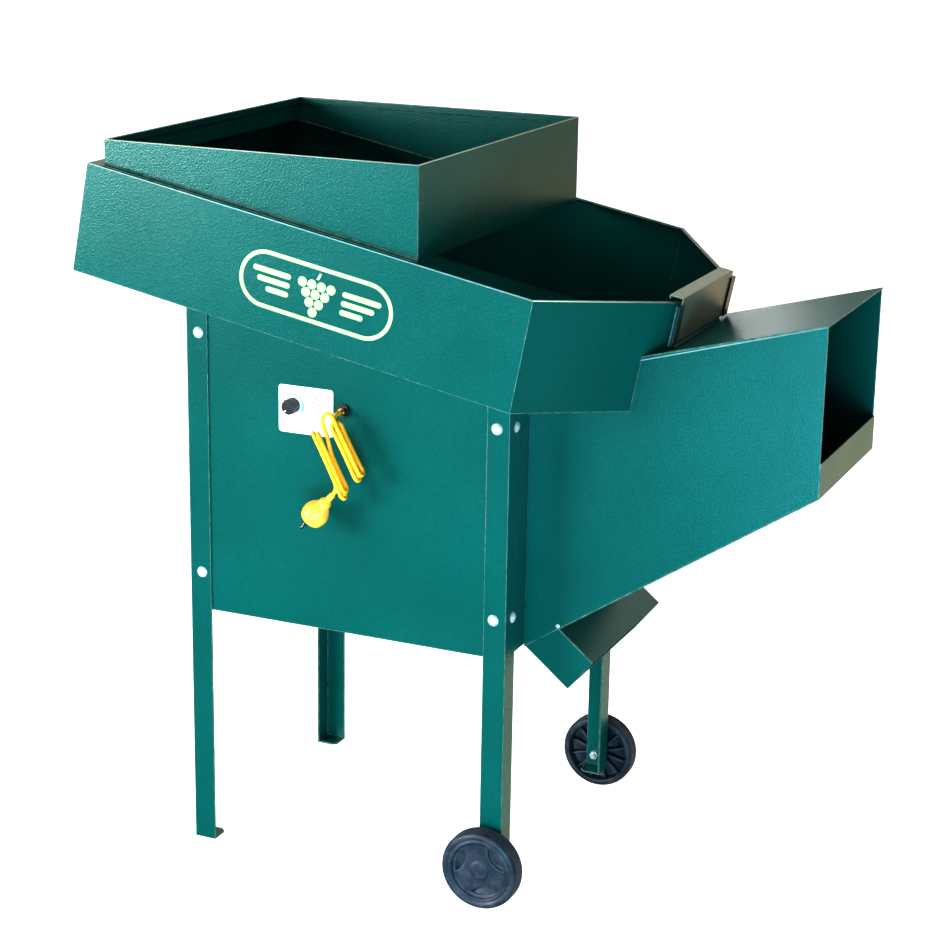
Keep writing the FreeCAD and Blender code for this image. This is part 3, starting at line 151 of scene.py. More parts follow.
# across from the wall, and up
FLANGE_SECTION = [(0.1, 0.0), (FLANGE_WIDTH, 0.0), (FLANGE_WIDTH + 0.6, 0.6),
                  (FLANGE_WIDTH + 0.6, 1.6), (FLANGE_WIDTH, 2.2), (3.2, 2.2), (1.6, 2.8),
                  (0.9, 4.4), (0.1, 5.2)]
RIM_INSET = 0.6
RIM_BEAD, HEM_BEAD, FOLD_BEAD = 0.9, 1.0, 1.1           # radii
ON_THE_SAME = 0.4 * MM      # corners nearer than this are on one face

# ---- stage ----
FLOOR_HALF = 60.0
FLOOR_DROP = 0.0005
# colours of the hall at a height, from -1 straight down to 1 straight up
HALL_FRONT = ((-1.0, (0.02, 0.03, 0.035)), (-0.05, (0.02, 0.025, 0.03)),
              (0.3, (0.16, 0.17, 0.18)), (1.0, (0.12, 0.12, 0.12)))
HALL_BEHIND = ((-1.0, (0.30, 0.27, 0.2)), (-0.3, (0.85, 0.74, 0.52)),
               (-0.14, (0.50, 0.42, 0.28)), (-0.03, (0.05, 0.05, 0.05)),
               (0.12, (0.06, 0.06, 0.06)), (0.26, (0.95, 0.92, 0.84)),
               (0.5, (0.8, 0.78, 0.72)), (0.75, (0.12, 0.12, 0.12)))
WHITE = (1.0, 1.0, 1.0)
# name, place, aim, size, watts, colour, whether the object mirrors it
LIGHTS = (("key", (-2.9, -3.2, 1.7), (0.0, -0.2, 0.9), (1.8, 1.5), 190, WHITE, True),
          ("front_fill", (0.7, -4.4, 1.2), (0.1, 0.0, 0.7), (2.6, 1.8), 60, WHITE, False),
          ("back_window", (-1.17, 4.5, 1.25), (0.49, -0.09, 1.0), (0.3, 0.8), 1.1, WHITE, True),
          ("top_fill", (0.1, -0.3, 3.4), (0.1, 0.0, 1.0), (1.6, 1.6), 26, WHITE, False),
          ("low_fill", (1.0, -2.7, 0.2), (0.4, 0.0, 0.5), (2.0, 0.35), 52, (0.25, 0.75, 1.0),
           True))


def camera():
    """Standing to the right of the front, a little above the object, looking down and left."""
    data = bpy.data.cameras.new("camera")
    data.lens = CAMERA_LENS
    data.shift_x, data.shift_y = CAMERA_SHIFT
    data.clip_end = 200
    obj = bpy.data.objects.new("camera", data)
    bpy.context.scene.collection.objects.link(obj)
    turn = (Matrix.Rotation(math.radians(CAMERA_YAW), 4, "Z")
            @ Matrix.Rotation(math.radians(90 - CAMERA_PITCH), 4, "X")
            @ Matrix.Rotation(math.radians(CAMERA_ROLL), 4, "Z"))
    obj.matrix_world = Matrix.Translation(CAMERA_PLACE) @ turn
    bpy.context.scene.camera = obj


# ---- making pieces ----
def add_mesh(name, bm, smooth=True):
    """Object from a bmesh, with its faces turned outwards."""
    mesh = bpy.data.meshes.new(name)
    bmesh.ops.recalc_face_normals(bm, faces=bm.faces)
    bm.to_mesh(mesh)
    bm.free()
    for face in mesh.polygons:
        face.use_smooth = smooth
    obj = bpy.data.objects.new(name, mesh)
    bpy.context.scene.collection.objects.link(obj)
    return obj


def dress(obj, material, body):
    """Finish a new piece and say which slot and body it belongs to."""
    obj.data.materials.clear()
    obj.data.materials.append(material)
    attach(obj, body)
    return obj


def skin(bm, a, b):
    """Faces between two rings of corners; a ring of one corner makes a fan."""
    count = max(len(a), len(b))
    for i in range(count):
        j = (i + 1) % count
        corners = (a[i % len(a)], a[j % len(a)], b[j % len(b)], b[i % len(b)])
        bm.faces.new(list(dict.fromkeys(corners)))


# ---- materials ----
class Nodes:
    """Short way to write one material's node tree."""

    def __init__(self, name):
        self.material = bpy.data.materials.new(name)
        self.material.use_nodes = True
        self.tree = self.material.node_tree
        self.shader = self.tree.nodes["Principled BSDF"]
        self.place = self.add("ShaderNodeTexCoord").outputs["Object"]

    def add(self, kind, **settings):
        node = self.tree.nodes.new(kind)
        for key, value in settings.items():
            setattr(node, key, value)
        return node

    def link(self, source, target):
        self.tree.links.new(source, target)

    def noise(self, scale, detail=2.0, rough=0.5):
        node = self.add("ShaderNodeTexNoise")
        node.inputs["Scale"].default_value = scale
        node.inputs["Detail"].default_value = detail
        node.inputs["Roughness"].default_value = rough
        self.link(self.place, node.inputs["Vector"])
        return node.outputs["Fac"]

    def cells(self, scale, smooth=1.0):
        node = self.add("ShaderNodeTexVoronoi", feature="SMOOTH_F1")
        node.inputs["Scale"].default_value = scale
        node.inputs["Smoothness"].default_value = smooth
        self.link(self.place, node.inputs["Vector"])
        return node.outputs["Distance"]

    def spread(self, value, low, high, from_low=0.3, from_high=0.7):
        node = self.add("ShaderNodeMapRange")
        self.link(value, node.inputs["Value"])
        for key, number in (("From Min", from_low), ("From Max", from_high),
                            ("To Min", low), ("To Max", high)):
            node.inputs[key].default_value = number
        return node.outputs["Result"]

    def math(self, operation, a, b):
        node = self.add("ShaderNodeMath", operation=operation)
        for socket, value in zip(node.inputs, (a, b)):
            if isinstance(value, (int, float)):
                socket.default_value = value
            else:
                self.link(value, socket)
        return node.outputs["Value"]

    def mix(self, factor, a, b):
        node = self.add("ShaderNodeMix", data_type="RGBA")
        for socket, value in ((node.inputs[0], factor), (node.inputs[6], a), (node.inputs[7], b)):
            if isinstance(value, (int, float)):
                socket.default_value = value
            elif isinstance(value, tuple):
                socket.default_value = value + (1.0,)
            else:
                self.link(value, socket)
        return node.outputs[2]

    def rounded(self, radius):
        """Normal of the surface with its corners rounded, as folded sheet has."""
        node = self.add("ShaderNodeBevel", samples=4)
        node.inputs["Radius"].default_value = radius
        return node.outputs["Normal"]

    def edges(self, rounded):
        """1 along corners, 0 on flats."""
        flat = self.add("ShaderNodeNewGeometry").outputs["True Normal"]
        dot = self.add("ShaderNodeVectorMath", operation="DOT_PRODUCT")
        self.link(rounded, dot.inputs[0])
        self.link(flat, dot.inputs[1])
        return self.spread(dot.outputs["Value"], 1.0, 0.0, 0.80, 0.995)

    def bump(self, height, strength, distance, normal=None):
        node = self.add("ShaderNodeBump")
        node.inputs["Strength"].default_value = strength
        node.inputs["Distance"].default_value = distance
        self.link(height, node.inputs["Height"])
        if normal is not None:
            self.link(normal, node.inputs["Normal"])
        return node.outputs["Normal"]

    def set(self, **values):
        for key, value in values.items():
            socket = self.shader.inputs[key.replace("_", " ")]
            if isinstance(value, (int, float)):
                socket.default_value = value
            elif isinstance(value, tuple):
                socket.default_value = value + (1.0,)
            else:
                self.link(value, socket)


def powder_coat(name, paint=PAINT, deep=PAINT_DEEP, edge_wear_and_highlight=1.0):
    """Hammered powder coat: 2 to 3 mm dimples, finer grain between, pale along the folds, partly as
    edge wear and partly as a painted highlight.
    """
    n = Nodes(name)
    corner = n.rounded(0.0024)
    pale_edge = n.edges(corner)
    speckle = n.cells(420)
    cloud = n.noise(5, 3)
    colour = n.mix(n.spread(cloud, 0.35, 1.0), deep, paint)
    colour = n.mix(n.spread(speckle, 0.0, 0.6, 0.1, 0.6), colour, deep)
    # pale along the folds: edge wear and a painted highlight of the bent sheet
    wear_and_highlight_mask = n.math("MULTIPLY", pale_edge,
                    n.spread(n.noise(60, 4, 0.7), 0.1 * edge_wear_and_highlight, 0.75 * edge_wear_and_highlight, 0.35, 0.6))
    colour = n.mix(wear_and_highlight_mask, colour, PALE_WEAR_AND_HIGHLIGHT)
    dimples = n.math("ADD", speckle, n.math("MULTIPLY", n.noise(900, 2), 0.5))
    n.set(Base_Color=colour, Roughness=n.spread(n.noise(9, 2), 0.24, 0.27),
          Normal=n.bump(dimples, 0.40, 0.0006, corner), Specular_IOR_Level=0.5,
          Specular_Tint=(0.7, 1.0, 0.95))
    return n.material


def metal(name, colour, dark, rough, grain=260, bump=0.08, bevel=0.0006, metallic=1.0):
    """Bare metal, stained in soft patches."""
    n = Nodes(name)
    corner = n.rounded(bevel)
    stain = n.spread(n.noise(grain / 6, 4, 0.6), 0.0, 1.0, 0.35, 0.68)
    n.set(Base_Color=n.mix(stain, dark, colour), Metallic=metallic,
          Roughness=n.spread(n.noise(grain, 3), rough * 0.8, rough * 1.25),
          Normal=n.bump(n.noise(grain * 3, 2), bump, 0.0004, corner))
    return n.material


def galvanised():
    """Sheet with the faint large crystals of hot zinc."""
    n = Nodes("galvanised_sheet")
    corner = n.rounded(0.0008)
    spangle = n.add("ShaderNodeTexVoronoi", feature="F1")
    spangle.inputs["Scale"].default_value = 70
    n.link(n.place, spangle.inputs["Vector"])
    tone = n.add("ShaderNodeSeparateColor")
    n.link(spangle.outputs["Color"], tone.inputs["Color"])
    colour = n.mix(tone.outputs["Red"], (0.42, 0.44, 0.46), (0.60, 0.62, 0.64))
    n.set(Base_Color=colour, Metallic=1.0,
          Roughness=n.spread(tone.outputs["Green"], 0.32, 0.5, 0, 1),
          Normal=n.bump(n.noise(400, 2), 0.08, 0.0004, corner))
    return n.material


def plastic(name, colour, dark, rough, grain=700, bump=0.12, bevel=0.0008, dust=0.0):
    """Moulded plastic with a fine grain; dust pales its edges and settles in patches."""
    n = Nodes(name)
    corner = n.rounded(bevel)
    tone = n.mix(n.spread(n.noise(18, 3), 0.0, 1.0), dark, colour)
    if dust:
        pale_edge = n.math("MULTIPLY", n.edges(corner), dust)
        tone = n.mix(pale_edge, tone, (0.22, 0.23, 0.25))
        film = n.math("MULTIPLY", n.spread(n.noise(45, 5, 0.65), 0.0, dust, 0.42, 0.75), 0.5)
        tone = n.mix(film, tone, (0.25, 0.26, 0.28))
    n.set(Base_Color=tone, Roughness=n.spread(n.noise(40, 3), rough * 0.85, rough * 1.15),
          Normal=n.bump(n.noise(grain, 3), bump, 0.0003, corner), Specular_IOR_Level=0.5)
    return n.material


def materials():
    return {
        "green_paint": powder_coat("green_paint"),
        # the gate's coat made pale beige-grey: a painted reflection of a warm room
        "gate_painted_reflection": powder_coat("gate_painted_reflection", (0.21, 0.215, 0.155), (0.16, 0.17, 0.125)),
        # the gate guides' coat made dark navy: painted shade
        "guide_painted_shade": powder_coat("guide_painted_shade", (0.006, 0.028, 0.038), (0.004, 0.018, 0.026),
                                   edge_wear_and_highlight=0.1),
        # pale coats of the rim and hem beads: painted highlights along the rounded rims and folds
        "rim_painted_highlight": powder_coat("rim_painted_highlight", (0.50, 0.52, 0.42), (0.30, 0.36, 0.29)),
        "hem_painted_highlight": powder_coat("hem_painted_highlight", (0.20, 0.46, 0.50), (0.10, 0.32, 0.36)),
        "zinc_steel": metal("zinc_steel", (0.84, 0.88, 0.92), (0.62, 0.65, 0.67), 0.3,
                            metallic=0.55),
        "galvanised_sheet": galvanised(),
        "motor_aluminium": metal("motor_aluminium", (0.36, 0.38, 0.41), (0.27, 0.29, 0.31), 0.5),
        "motor_core": metal("motor_core", (0.30, 0.28, 0.26), (0.2, 0.19, 0.18), 0.5),
        "bearing_steel": metal("bearing_steel", (0.75, 0.75, 0.76), (0.6, 0.6, 0.6), 0.18),
        "black_plastic": plastic("black_plastic", (0.018, 0.018, 0.02), (0.012, 0.012, 0.013), 0.42,
                                 dust=0.25),
        "white_plastic": plastic("white_plastic", (0.86, 0.87, 0.87), (0.80, 0.81, 0.81), 0.35),
        "grey_plastic": plastic("grey_plastic", (0.3, 0.31, 0.32), (0.25, 0.26, 0.27), 0.5),
        "brass_nut": metal("brass_nut", (0.74, 0.56, 0.26), (0.5, 0.36, 0.15), 0.28),
        "yellow_cord": plastic("yellow_cord", (0.92, 0.50, 0.03), (0.84, 0.40, 0.015), 0.36,
                               grain=1500, bump=0.05),
        "yellow_plug": plastic("yellow_plug", (0.92, 0.49, 0.08), (0.82, 0.38, 0.03), 0.3,
                               grain=1100, bump=0.06),
        "nickel_pins": metal("nickel_pins", (0.80, 0.79, 0.76), (0.66, 0.65, 0.62), 0.2),
        "wheel_plastic": plastic("wheel_plastic", (0.017, 0.027, 0.045), (0.012, 0.019, 0.032),
                                 0.5, dust=0.3),
        "decal": plastic("decal", (0.38, 0.66, 0.25), (0.34, 0.60, 0.22), 0.38,
                         grain=1500, bump=0.03),
        "print": plastic("print", (0.25, 0.50, 0.48), (0.2, 0.44, 0.42), 0.4,
                         grain=1500, bump=0.02),
        "print_white": plastic("print_white", (0.85, 0.87, 0.88), (0.78, 0.8, 0.81), 0.4),
    }


MATERIALS = materials()


def dress_cad():
    """Give every carried-over node its detailed finish."""
    for part in frame["record"]["subparts"]:
        obj = frame["nodes"][part["node"]]
        obj.data.materials.clear()
        # the gate and its guides take the coats with painted reflection and painted shade
        finish = PAINTED_LIGHT_COATS.get(part["node"], part["material_slot"])
        obj.data.materials.append(MATERIALS[finish])


# ---- mains lead ----
def from_gland(x, out, z):
    """Place given in mm from the gland: to the right, forward of its face, and up."""
    return Vector((GLAND.x + x * MM, GLAND_FACE_Y - out * MM, GLAND.z + z * MM))


class Bundle:
    """Side-by-side strands of the hank between two folds, in a back and a front layer."""

    def __init__(self, top, bottom):
        self.top = from_gland(top[0], 0, top[1])
        run = from_gland(bottom[0], 0, bottom[1]) - self.top
        self.length = run.length
        self.along = run.normalized()
        self.across = Vector((-self.along.z, 0, self.along.x))

    def at(self, share, offset, layer):
        return (self.top + self.along * (self.length * share) + self.across * (offset * MM)
                - Vector((0, layer * MM, 0)))

    def run(self, start, end, offset, layer, steps=5):
        """Points down or up one strand, bowed a little as a hanging lead is."""
        points = []
        for i in range(steps):
            share = start + (end - start) * (i + 0.5) / steps
            bow = STRAND_BOW * math.sin(math.pi * share) * (1 if layer == FRONT else -1)
            points.append(self.at(share, offset + bow, layer))
        return points

    def fold(self, share, first, second, way):
        """Corners round a half circle from one strand to the next, (offset, layer) each."""
        a = self.at(share, *first)
        b = self.at(share, *second)
        middle = (a + b) / 2
        reach = (a - b).length / 2 / math.cos(math.pi / 8)
        out = (a - b).normalized()
        before = self.along * (way * reach * math.sin(math.pi / 8))
        angles = [math.pi / 8 + math.pi / 4 * i for i in range(4)]
        return [a - before] + [
            middle + out * (reach * math.cos(t)) + self.along * (way * reach * math.sin(t))
            for t in angles] + [b - before]


def lead_route():
    """The whole lead: out of the gland, two turns on the right, over the top in a wide bend,
    down into two turns on the left, and to the plug."""
    right = Bundle(*RIGHT_ENDS)
    left = Bundle(*LEFT_ENDS)
    route = [from_gland(*p) for p in LEAD_STUB]
    route += right.run(0.08, 0.98, RIGHT_FIRST, BACK)
    route += right.fold(0.99, (RIGHT_FIRST, BACK), (RIGHT_FIRST, FRONT), 1)
    route += right.run(0.98, 0.12, RIGHT_FIRST, FRONT)
    route += right.fold(0.11, (RIGHT_FIRST, FRONT), (RIGHT_SECOND, BACK), -1)
    route += right.run(0.12, 0.92, RIGHT_SECOND, BACK)
    route += right.fold(0.93, (RIGHT_SECOND, BACK), (RIGHT_SECOND, FRONT), 1)
    route += right.run(0.92, 0.05, RIGHT_SECOND, FRONT)
    route += [from_gland(*p) for p in LEAD_OVER]
    first, second, third = LEFT_STRANDS
    route += left.run(0.26, 0.96, first, BACK, 4)
    route += left.fold(0.97, (first, BACK), (first, FRONT), 1)
    route += left.run(0.96, 0.04, first, FRONT)
    route += left.fold(0.03, (first, FRONT), (second, BACK), -1)
    route += left.run(0.04, 1.06, second, BACK)
    route += left.fold(1.07, (second, BACK), (second, FRONT), 1)
    route += left.run(1.06, 0.0, second, FRONT)
    route += left.fold(-0.01, (second, FRONT), (third, BACK), -1)
    route += left.run(0.0, 0.66, third, BACK, 4)
    return route + [from_gland(*p) for p in LEAD_TO_PLUG]


def lead():
    curve = bpy.data.curves.new("mains_lead", "CURVE")
    curve.dimensions = "3D"
    curve.resolution_u = 8
    curve.bevel_depth = CORD_D / 2
    curve.bevel_resolution = 6
    route = lead_route()
    spline = curve.splines.new("NURBS")
    spline.points.add(len(route) - 1)
    for point, place in zip(spline.points, route):
        point.co = (*place, 1.0)
    spline.order_u = 3
    spline.use_endpoint_u = True
    obj = bpy.data.objects.new("mains_lead", curve)
    bpy.context.scene.collection.objects.link(obj)
    obj.data.materials.append(MATERIALS["yellow_cord"])
    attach(obj, "machine")
    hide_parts("mains_cord", "cord_hank")
    return obj


def plug_body():
    """Moulded plug: ribbed strain relief, swelling body with flattened grip sides."""
    start = from_gland(*PLUG_NECK)
    back = Vector((0, 1, 0))
    side = PLUG_WAY.cross(back).normalized()
    share, where, length = PLUG_GRIP
    bm = bmesh.new()
    rings = []
    for h, r in PLUG_PROFILE:
        grip = share * math.exp(-((h - where) / length) ** 2)
        ring = []
        for i in range(PLUG_STEPS):
            t = math.tau * i / PLUG_STEPS
            flat = 1 - grip * abs(math.sin(t)) ** 3
            spot = (start + PLUG_WAY * (h * MM) + side * (r * MM * math.cos(t))
                    + back * (r * MM * math.sin(t) * flat))
            ring.append(bm.verts.new(spot))
        rings.append(ring)
    for a, b in zip(rings, rings[1:]):
        skin(bm, a, b)
    bm.faces.new(rings[0])
    bmesh.ops.inset_individual(bm, faces=[bm.faces.new(rings[-1])], thickness=PLUG_END_INSET)
    obj = add_mesh("plug_body", bm)
    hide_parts("mains_plug")
    return dress(obj, MATERIALS["yellow_plug"], "machine")


# ---- running wheels ----
def clamp(value):
    return min(max(value, 0), 1)


def pocket_depth(x, y):
    """Depth of the lens-shaped hollows at a place on the wheel's face: steep at the inner arc."""
    rim = clamp((POCKET_EDGE - math.hypot(x, y)) / POCKET_RIM)
    deepest = 0.0
    for angle in POCKET_ANGLES:
        t = math.radians(angle)
        inside = POCKET_RADIUS - math.hypot(x - POCKET_CENTRE * math.cos(t),
                                            y - POCKET_CENTRE * math.sin(t))
        wall = clamp(inside / POCKET_WALL)
        slope = 1 - POCKET_RISE * clamp(inside / POCKET_RUN)
        deepest = max(deepest, POCKET_DEPTH * wall * rim * slope)
    return deepest


def running_wheel(node, side):
    """Moulded wheel in place of the node; side is -1 with its outer face towards -Y."""
    low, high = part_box(node)
    axle = (low + high) / 2
    face_y = low.y if side < 0 else high.y
    bm = bmesh.new()

    def spot(t, r, depth):
        return bm.verts.new((axle.x + r * MM * math.cos(t), face_y - side * depth * MM,
                             axle.z + r * MM * math.sin(t)))

    def ring(r, depth_at, radius_at=None):
        if r == 0:
            return [spot(0, 0, depth_at(0, 0))]
        verts = []
        for i in range(WHEEL_STEPS):
            t = math.tau * i / WHEEL_STEPS
            seen = t if side < 0 else math.pi - t
            radius = r if radius_at is None else radius_at(t)
            verts.append(spot(t, radius, depth_at(r * math.cos(seen), r * math.sin(seen))))
        return verts

    def flat(depth):
        return lambda x, y: depth

    def disc(x, y):
        return WHEEL_DISC_DEPTH + pocket_depth(x, y)

    def tread(depth):
        def radius(t):
            slant = depth * TREAD_SLANT
            wave = math.sin(TREAD_BLOCKS * t + slant) * math.sin(TREAD_BLOCKS * t - slant)
            return WHEEL_RADIUS - TREAD_DEPTH * (0.5 - 0.5 * math.tanh(TREAD_EDGE * wave))
        return radius

    rings = [ring(r, flat(h)) for r, h in WHEEL_FACE]
    rings += [ring(r, disc) for r in WHEEL_DISC]
    rings += [ring(r, flat(h)) for r, h in WHEEL_RIM]
    rings += [ring(WHEEL_RADIUS, flat(h), tread(h)) for h in WHEEL_TREAD]
    rings += [ring(r, flat(h)) for r, h in WHEEL_BACK]
    for a, b in zip(rings, rings[1:]):
        skin(bm, a, b)
    wheel_ribs(bm, spot)
    obj = add_mesh(node + "_moulding", bm)
    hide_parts(node)
    return dress(obj, MATERIALS["wheel_plastic"], node)


def wheel_ribs(bm, spot):
    """Thin ribs in the hollow behind the face, thinner at their free edge."""
    for i in range(WHEEL_RIBS):
        t = math.tau * (i + 0.5) / WHEEL_RIBS
        corners = []
        for r, depth, half in RIB_CORNERS:
            swing = half / r
            corners.append((spot(t - swing, r, depth), spot(t + swing, r, depth)))
        for k in range(4):
            (a, b), (c, d) = corners[k], corners[(k + 1) % 4]
            bm.faces.new((a, b, d, c))
        bm.faces.new([c[0] for c in corners])
        bm.faces.new([c[1] for c in reversed(corners)])


# ---- thin pieces on flat faces ----
class Face:
    """A flat face: an origin, two directions along it and the way out of it."""

    def __init__(self, origin, right, up):
        self.origin = Vector(origin)
        self.right = Vector(right).normalized()
        self.up = Vector(up).normalized()
        self.out = self.right.cross(self.up)

    def at(self, x, y, out=0.0):
        """Place on the face, mm."""
        return self.origin + (self.right * x + self.up * y + self.out * out) * MM


def add_sheet(bm, face, outer, inner=None, thick=0.25, sunk=0.05):
    """Thin sheet with one outline, or between two with as many points, given in mm."""
    loops = [outer] if inner is None else [outer, inner]
    low = [[bm.verts.new(face.at(x, y, -sunk)) for x, y in points] for points in loops]
    high = [[bm.verts.new(face.at(x, y, thick)) for x, y in points] for points in loops]
    for a, b in zip(low, high):
        skin(bm, a, b)
    if inner is None:
        bm.faces.new(high[0])
        bm.faces.new(low[0])
        return
    for outside, inside in (low, high):
        skin(bm, outside, inside)


def circle(x, y, r, steps=40):
    """Round outline about a point."""
    return [(x + r * math.cos(math.tau * i / steps), y + r * math.sin(math.tau * i / steps))
            for i in range(steps)]


def pill(half_length, r, steps=24):
    """Long rounded outline about the origin."""
    points = []
    for end in (1, -1):
        for i in range(steps + 1):
            t = -math.pi / 2 + math.pi * i / steps
            points.append((end * (half_length - r + r * math.cos(t)), end * r * math.sin(t)))
    return points


def arc_band(x, y, start, end, inner, outer, steps=24):
    """Outline of a band round a point; its outer radius runs from outer[0] to outer[1]."""
    near, far = [], []
    for i in range(steps + 1):
        t = math.radians(start + (end - start) * i / steps)
        reach = outer[0] + (outer[1] - outer[0]) * i / steps
        near.append((x + inner * math.cos(t), y + inner * math.sin(t)))
        far.append((x + reach * math.cos(t), y + reach * math.sin(t)))
    return near + far[::-1]


def slope_axis():
    """Square to the tray's floor, from the gate's joint."""
    joints = {joint["name"]: joint for joint in frame["record"]["behaviour"]["joints"]}
    return Vector(joints["gate_slide"]["axis"]).normalized()


def down_slope(up):
    """Down the tray's slope, towards its gate."""
    return Vector((up.z, 0, -up.x))


def tray_face():
    """Front of the tray's wall: from its lower left corner down the slope, and up the wall."""
    up = slope_axis()
    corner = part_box("tray_end_wall")[0]
    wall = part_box("tray_front_wall")[0]
    return Face((corner.x, wall.y, corner.z), down_slope(up), up)


def tray_decal():
    """Plain fruit badge: a rounded frame, a bunch of discs with its stalk, and plain bars."""
    wall = tray_face()
    face = Face(wall.at(*BADGE_PLACE), wall.right, wall.up)
    bm = bmesh.new()
    add_sheet(bm, face, *(pill(*size) for size in BADGE_FRAME))
    for row, count in enumerate(BERRY_ROWS):
        for i in range(count):
            add_sheet(bm, face, circle((i - (count - 1) / 2) * BERRY_PITCH,
                                       BERRY_TOP - row * BERRY_DROP, BERRY_RADIUS))
    add_sheet(bm, face, STALK)
    for side in (-1, 1):
        for y, half in BARS:
            middle = side * (BAR_START + half)
            add_sheet(bm, face, [(middle + x, y + z) for x, z in pill(half, BAR_RADIUS)])
    obj = add_mesh("tray_decal", bm, smooth=False)
    return dress(obj, MATERIALS["decal"], "machine")


def hopper_flange(name, side):
    """Out-turned foot of the hopper, lying along the tray's edge; side -1 at the front."""
    up = slope_axis()
    along = down_slope(up)
    low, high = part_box("hopper_front_wall" if side < 0 else "hopper_rear_wall")
    web_y = low.y if side < 0 else high.y
    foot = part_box("tray_end_wall")[0]
    top_left = Vector((foot.x, 0, foot.z))
    height = (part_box("tray_front_wall")[1].z - foot.z) / up.z
    start = top_left + up * height
    first = (low.x - start.x) / along.x + FLANGE_END * MM
    last = (high.x - start.x) / along.x - FLANGE_END * MM
    bm = bmesh.new()
    ends = [[bm.verts.new(Vector((0, web_y + side * a * MM, 0)) + start + along * place
                          + up * (b * MM)) for a, b in FLANGE_SECTION]
            for place in (first, last)]
    skin(bm, *ends)
    bm.faces.new(ends[0])
    bm.faces.new(ends[1])
    obj = add_mesh(name, bm, smooth=False)
    return dress(obj, MATERIALS["green_paint"], "machine")


def plate_print():
    """Speed wedge and ticks round the knob, and a small ringed fan sign."""
    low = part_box("control_plate")[0]
    knob = (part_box("control_knob")[0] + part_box("control_knob")[1]) / 2
    face = Face((low.x, low.y, low.z), (1, 0, 0), (0, 0, 1))
    middle = Vector(((knob.x - low.x) / MM, (knob.z - low.z) / MM))
    bm = bmesh.new()

    def printed(*outlines):
        add_sheet(bm, face, *outlines, thick=PRINT_THICK)

    printed(arc_band(*middle, SCALE_FROM, SCALE_TO, SCALE_INNER, SCALE_OUTER, 48))
    for i in range(TICKS):
        t = math.radians(SCALE_FROM - TICK_STEP * i)
        across = Vector((-math.sin(t), math.cos(t))) * TICK_HALF
        foot = middle + Vector((math.cos(t), math.sin(t))) * TICK_FOOT
        tip = middle + Vector((math.cos(t), math.sin(t))) * TICK_TIP
        printed([tuple(v) for v in (foot - across, tip - across, tip + across, foot + across)])
    printed(*(circle(*FAN_PLACE, r) for r in FAN_RING))
    printed(circle(*FAN_PLACE, FAN_HUB))
    for turn in FAN_TURNS:
        blade = []
        for r, swing in FAN_BLADE:
            t = math.radians(turn + swing)
            blade.append((FAN_PLACE[0] + r * math.cos(t), FAN_PLACE[1] + r * math.sin(t)))
        printed(blade)
    obj = add_mesh("plate_print", bm, smooth=False)
    return dress(obj, MATERIALS["print"], "machine")


def knob_pointer():
    """Raised pale mark on the knob's face, at its lowest setting."""
    low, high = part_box("control_knob")
    middle = (low + high) / 2
    face = Face((middle.x, low.y, middle.z), (1, 0, 0), (0, 0, 1))
    t = math.radians(POINTER_ANGLE)
    way = Vector((math.cos(t), math.sin(t)))
    across = Vector((-way.y, way.x)) * POINTER_HALF
    points = [way * POINTER_FOOT - across, way * POINTER_SHOULDER - across, way * POINTER_TIP,
              way * POINTER_SHOULDER + across, way * POINTER_FOOT + across]
    bm = bmesh.new()
    add_sheet(bm, face, [tuple(v) for v in points], thick=POINTER_THICK)
    obj = add_mesh("knob_pointer", bm, smooth=False)
    return dress(obj, MATERIALS["print_white"], "knob")


def sweep(name, points, radius, square, closed=False, steps=10):
    """Thin round bead along a flat run of straight lines; square is the run's normal."""
    bm = bmesh.new()
    count = len(points)
    rings = []
    for i, place in enumerate(points):
        ways = []
        if closed or i > 0:
            ways.append((place - points[i - 1]).normalized())
        if closed or i < count - 1:
            ways.append((points[(i + 1) % count] - place).normalized())
        way = ways[0]
        mitre = sum(ways, Vector()).normalized()
        side = way.cross(square).normalized()
        ring = []
        for k in range(steps):
            t = math.tau * k / steps
            offset = (side * math.cos(t) + square * math.sin(t)) * (radius * MM)
            ring.append(bm.verts.new(place + offset - way * (offset.dot(mitre) / way.dot(mitre))))
        rings.append(ring)
    for i in range(count if closed else count - 1):
        skin(bm, rings[i], rings[(i + 1) % count])
    if not closed:
        bm.faces.new(rings[0])
        bm.faces.new(rings[-1])
    return add_mesh(name, bm)


def corner_of(node, key, among=None):
    """The node's corner with the highest key, of those that among() picks."""
    places = [v.co.copy() for v in frame["nodes"][node].data.vertices]
    return max((p for p in places if among is None or among(p)), key=key)


def hopper_rim():
    """The hopper's four top corners, just inside the sheet."""
    walls = [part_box("hopper_%s_wall" % side) for side in ("front", "rear", "left", "right")]
    low = Vector([min(box[0][i] for box in walls) + RIM_INSET * MM for i in range(3)])
    high = Vector([max(box[1][i] for box in walls) - RIM_INSET * MM for i in range(3)])
    return [Vector((x, y, high.z)) for x, y in ((low.x, low.y), (high.x, low.y),
                                               (high.x, high.y), (low.x, high.y))]


def tray_hem(node, outer, up):
    """Start, bend and end of the tray wall's top edge, along its outer face."""
    along = down_slope(up)
    top = corner_of(node, lambda p: p.dot(up)).dot(up)

    def on_top(p):
        return top - p.dot(up) < ON_THE_SAME

    def on_wall(p):
        return abs(p.y - outer) < ON_THE_SAME and on_top(p)

    return (corner_of(node, lambda p: -p.dot(along), on_wall),
            corner_of(node, lambda p: p.dot(along), on_wall),
            corner_of(node, lambda p: p.dot(along), on_top))


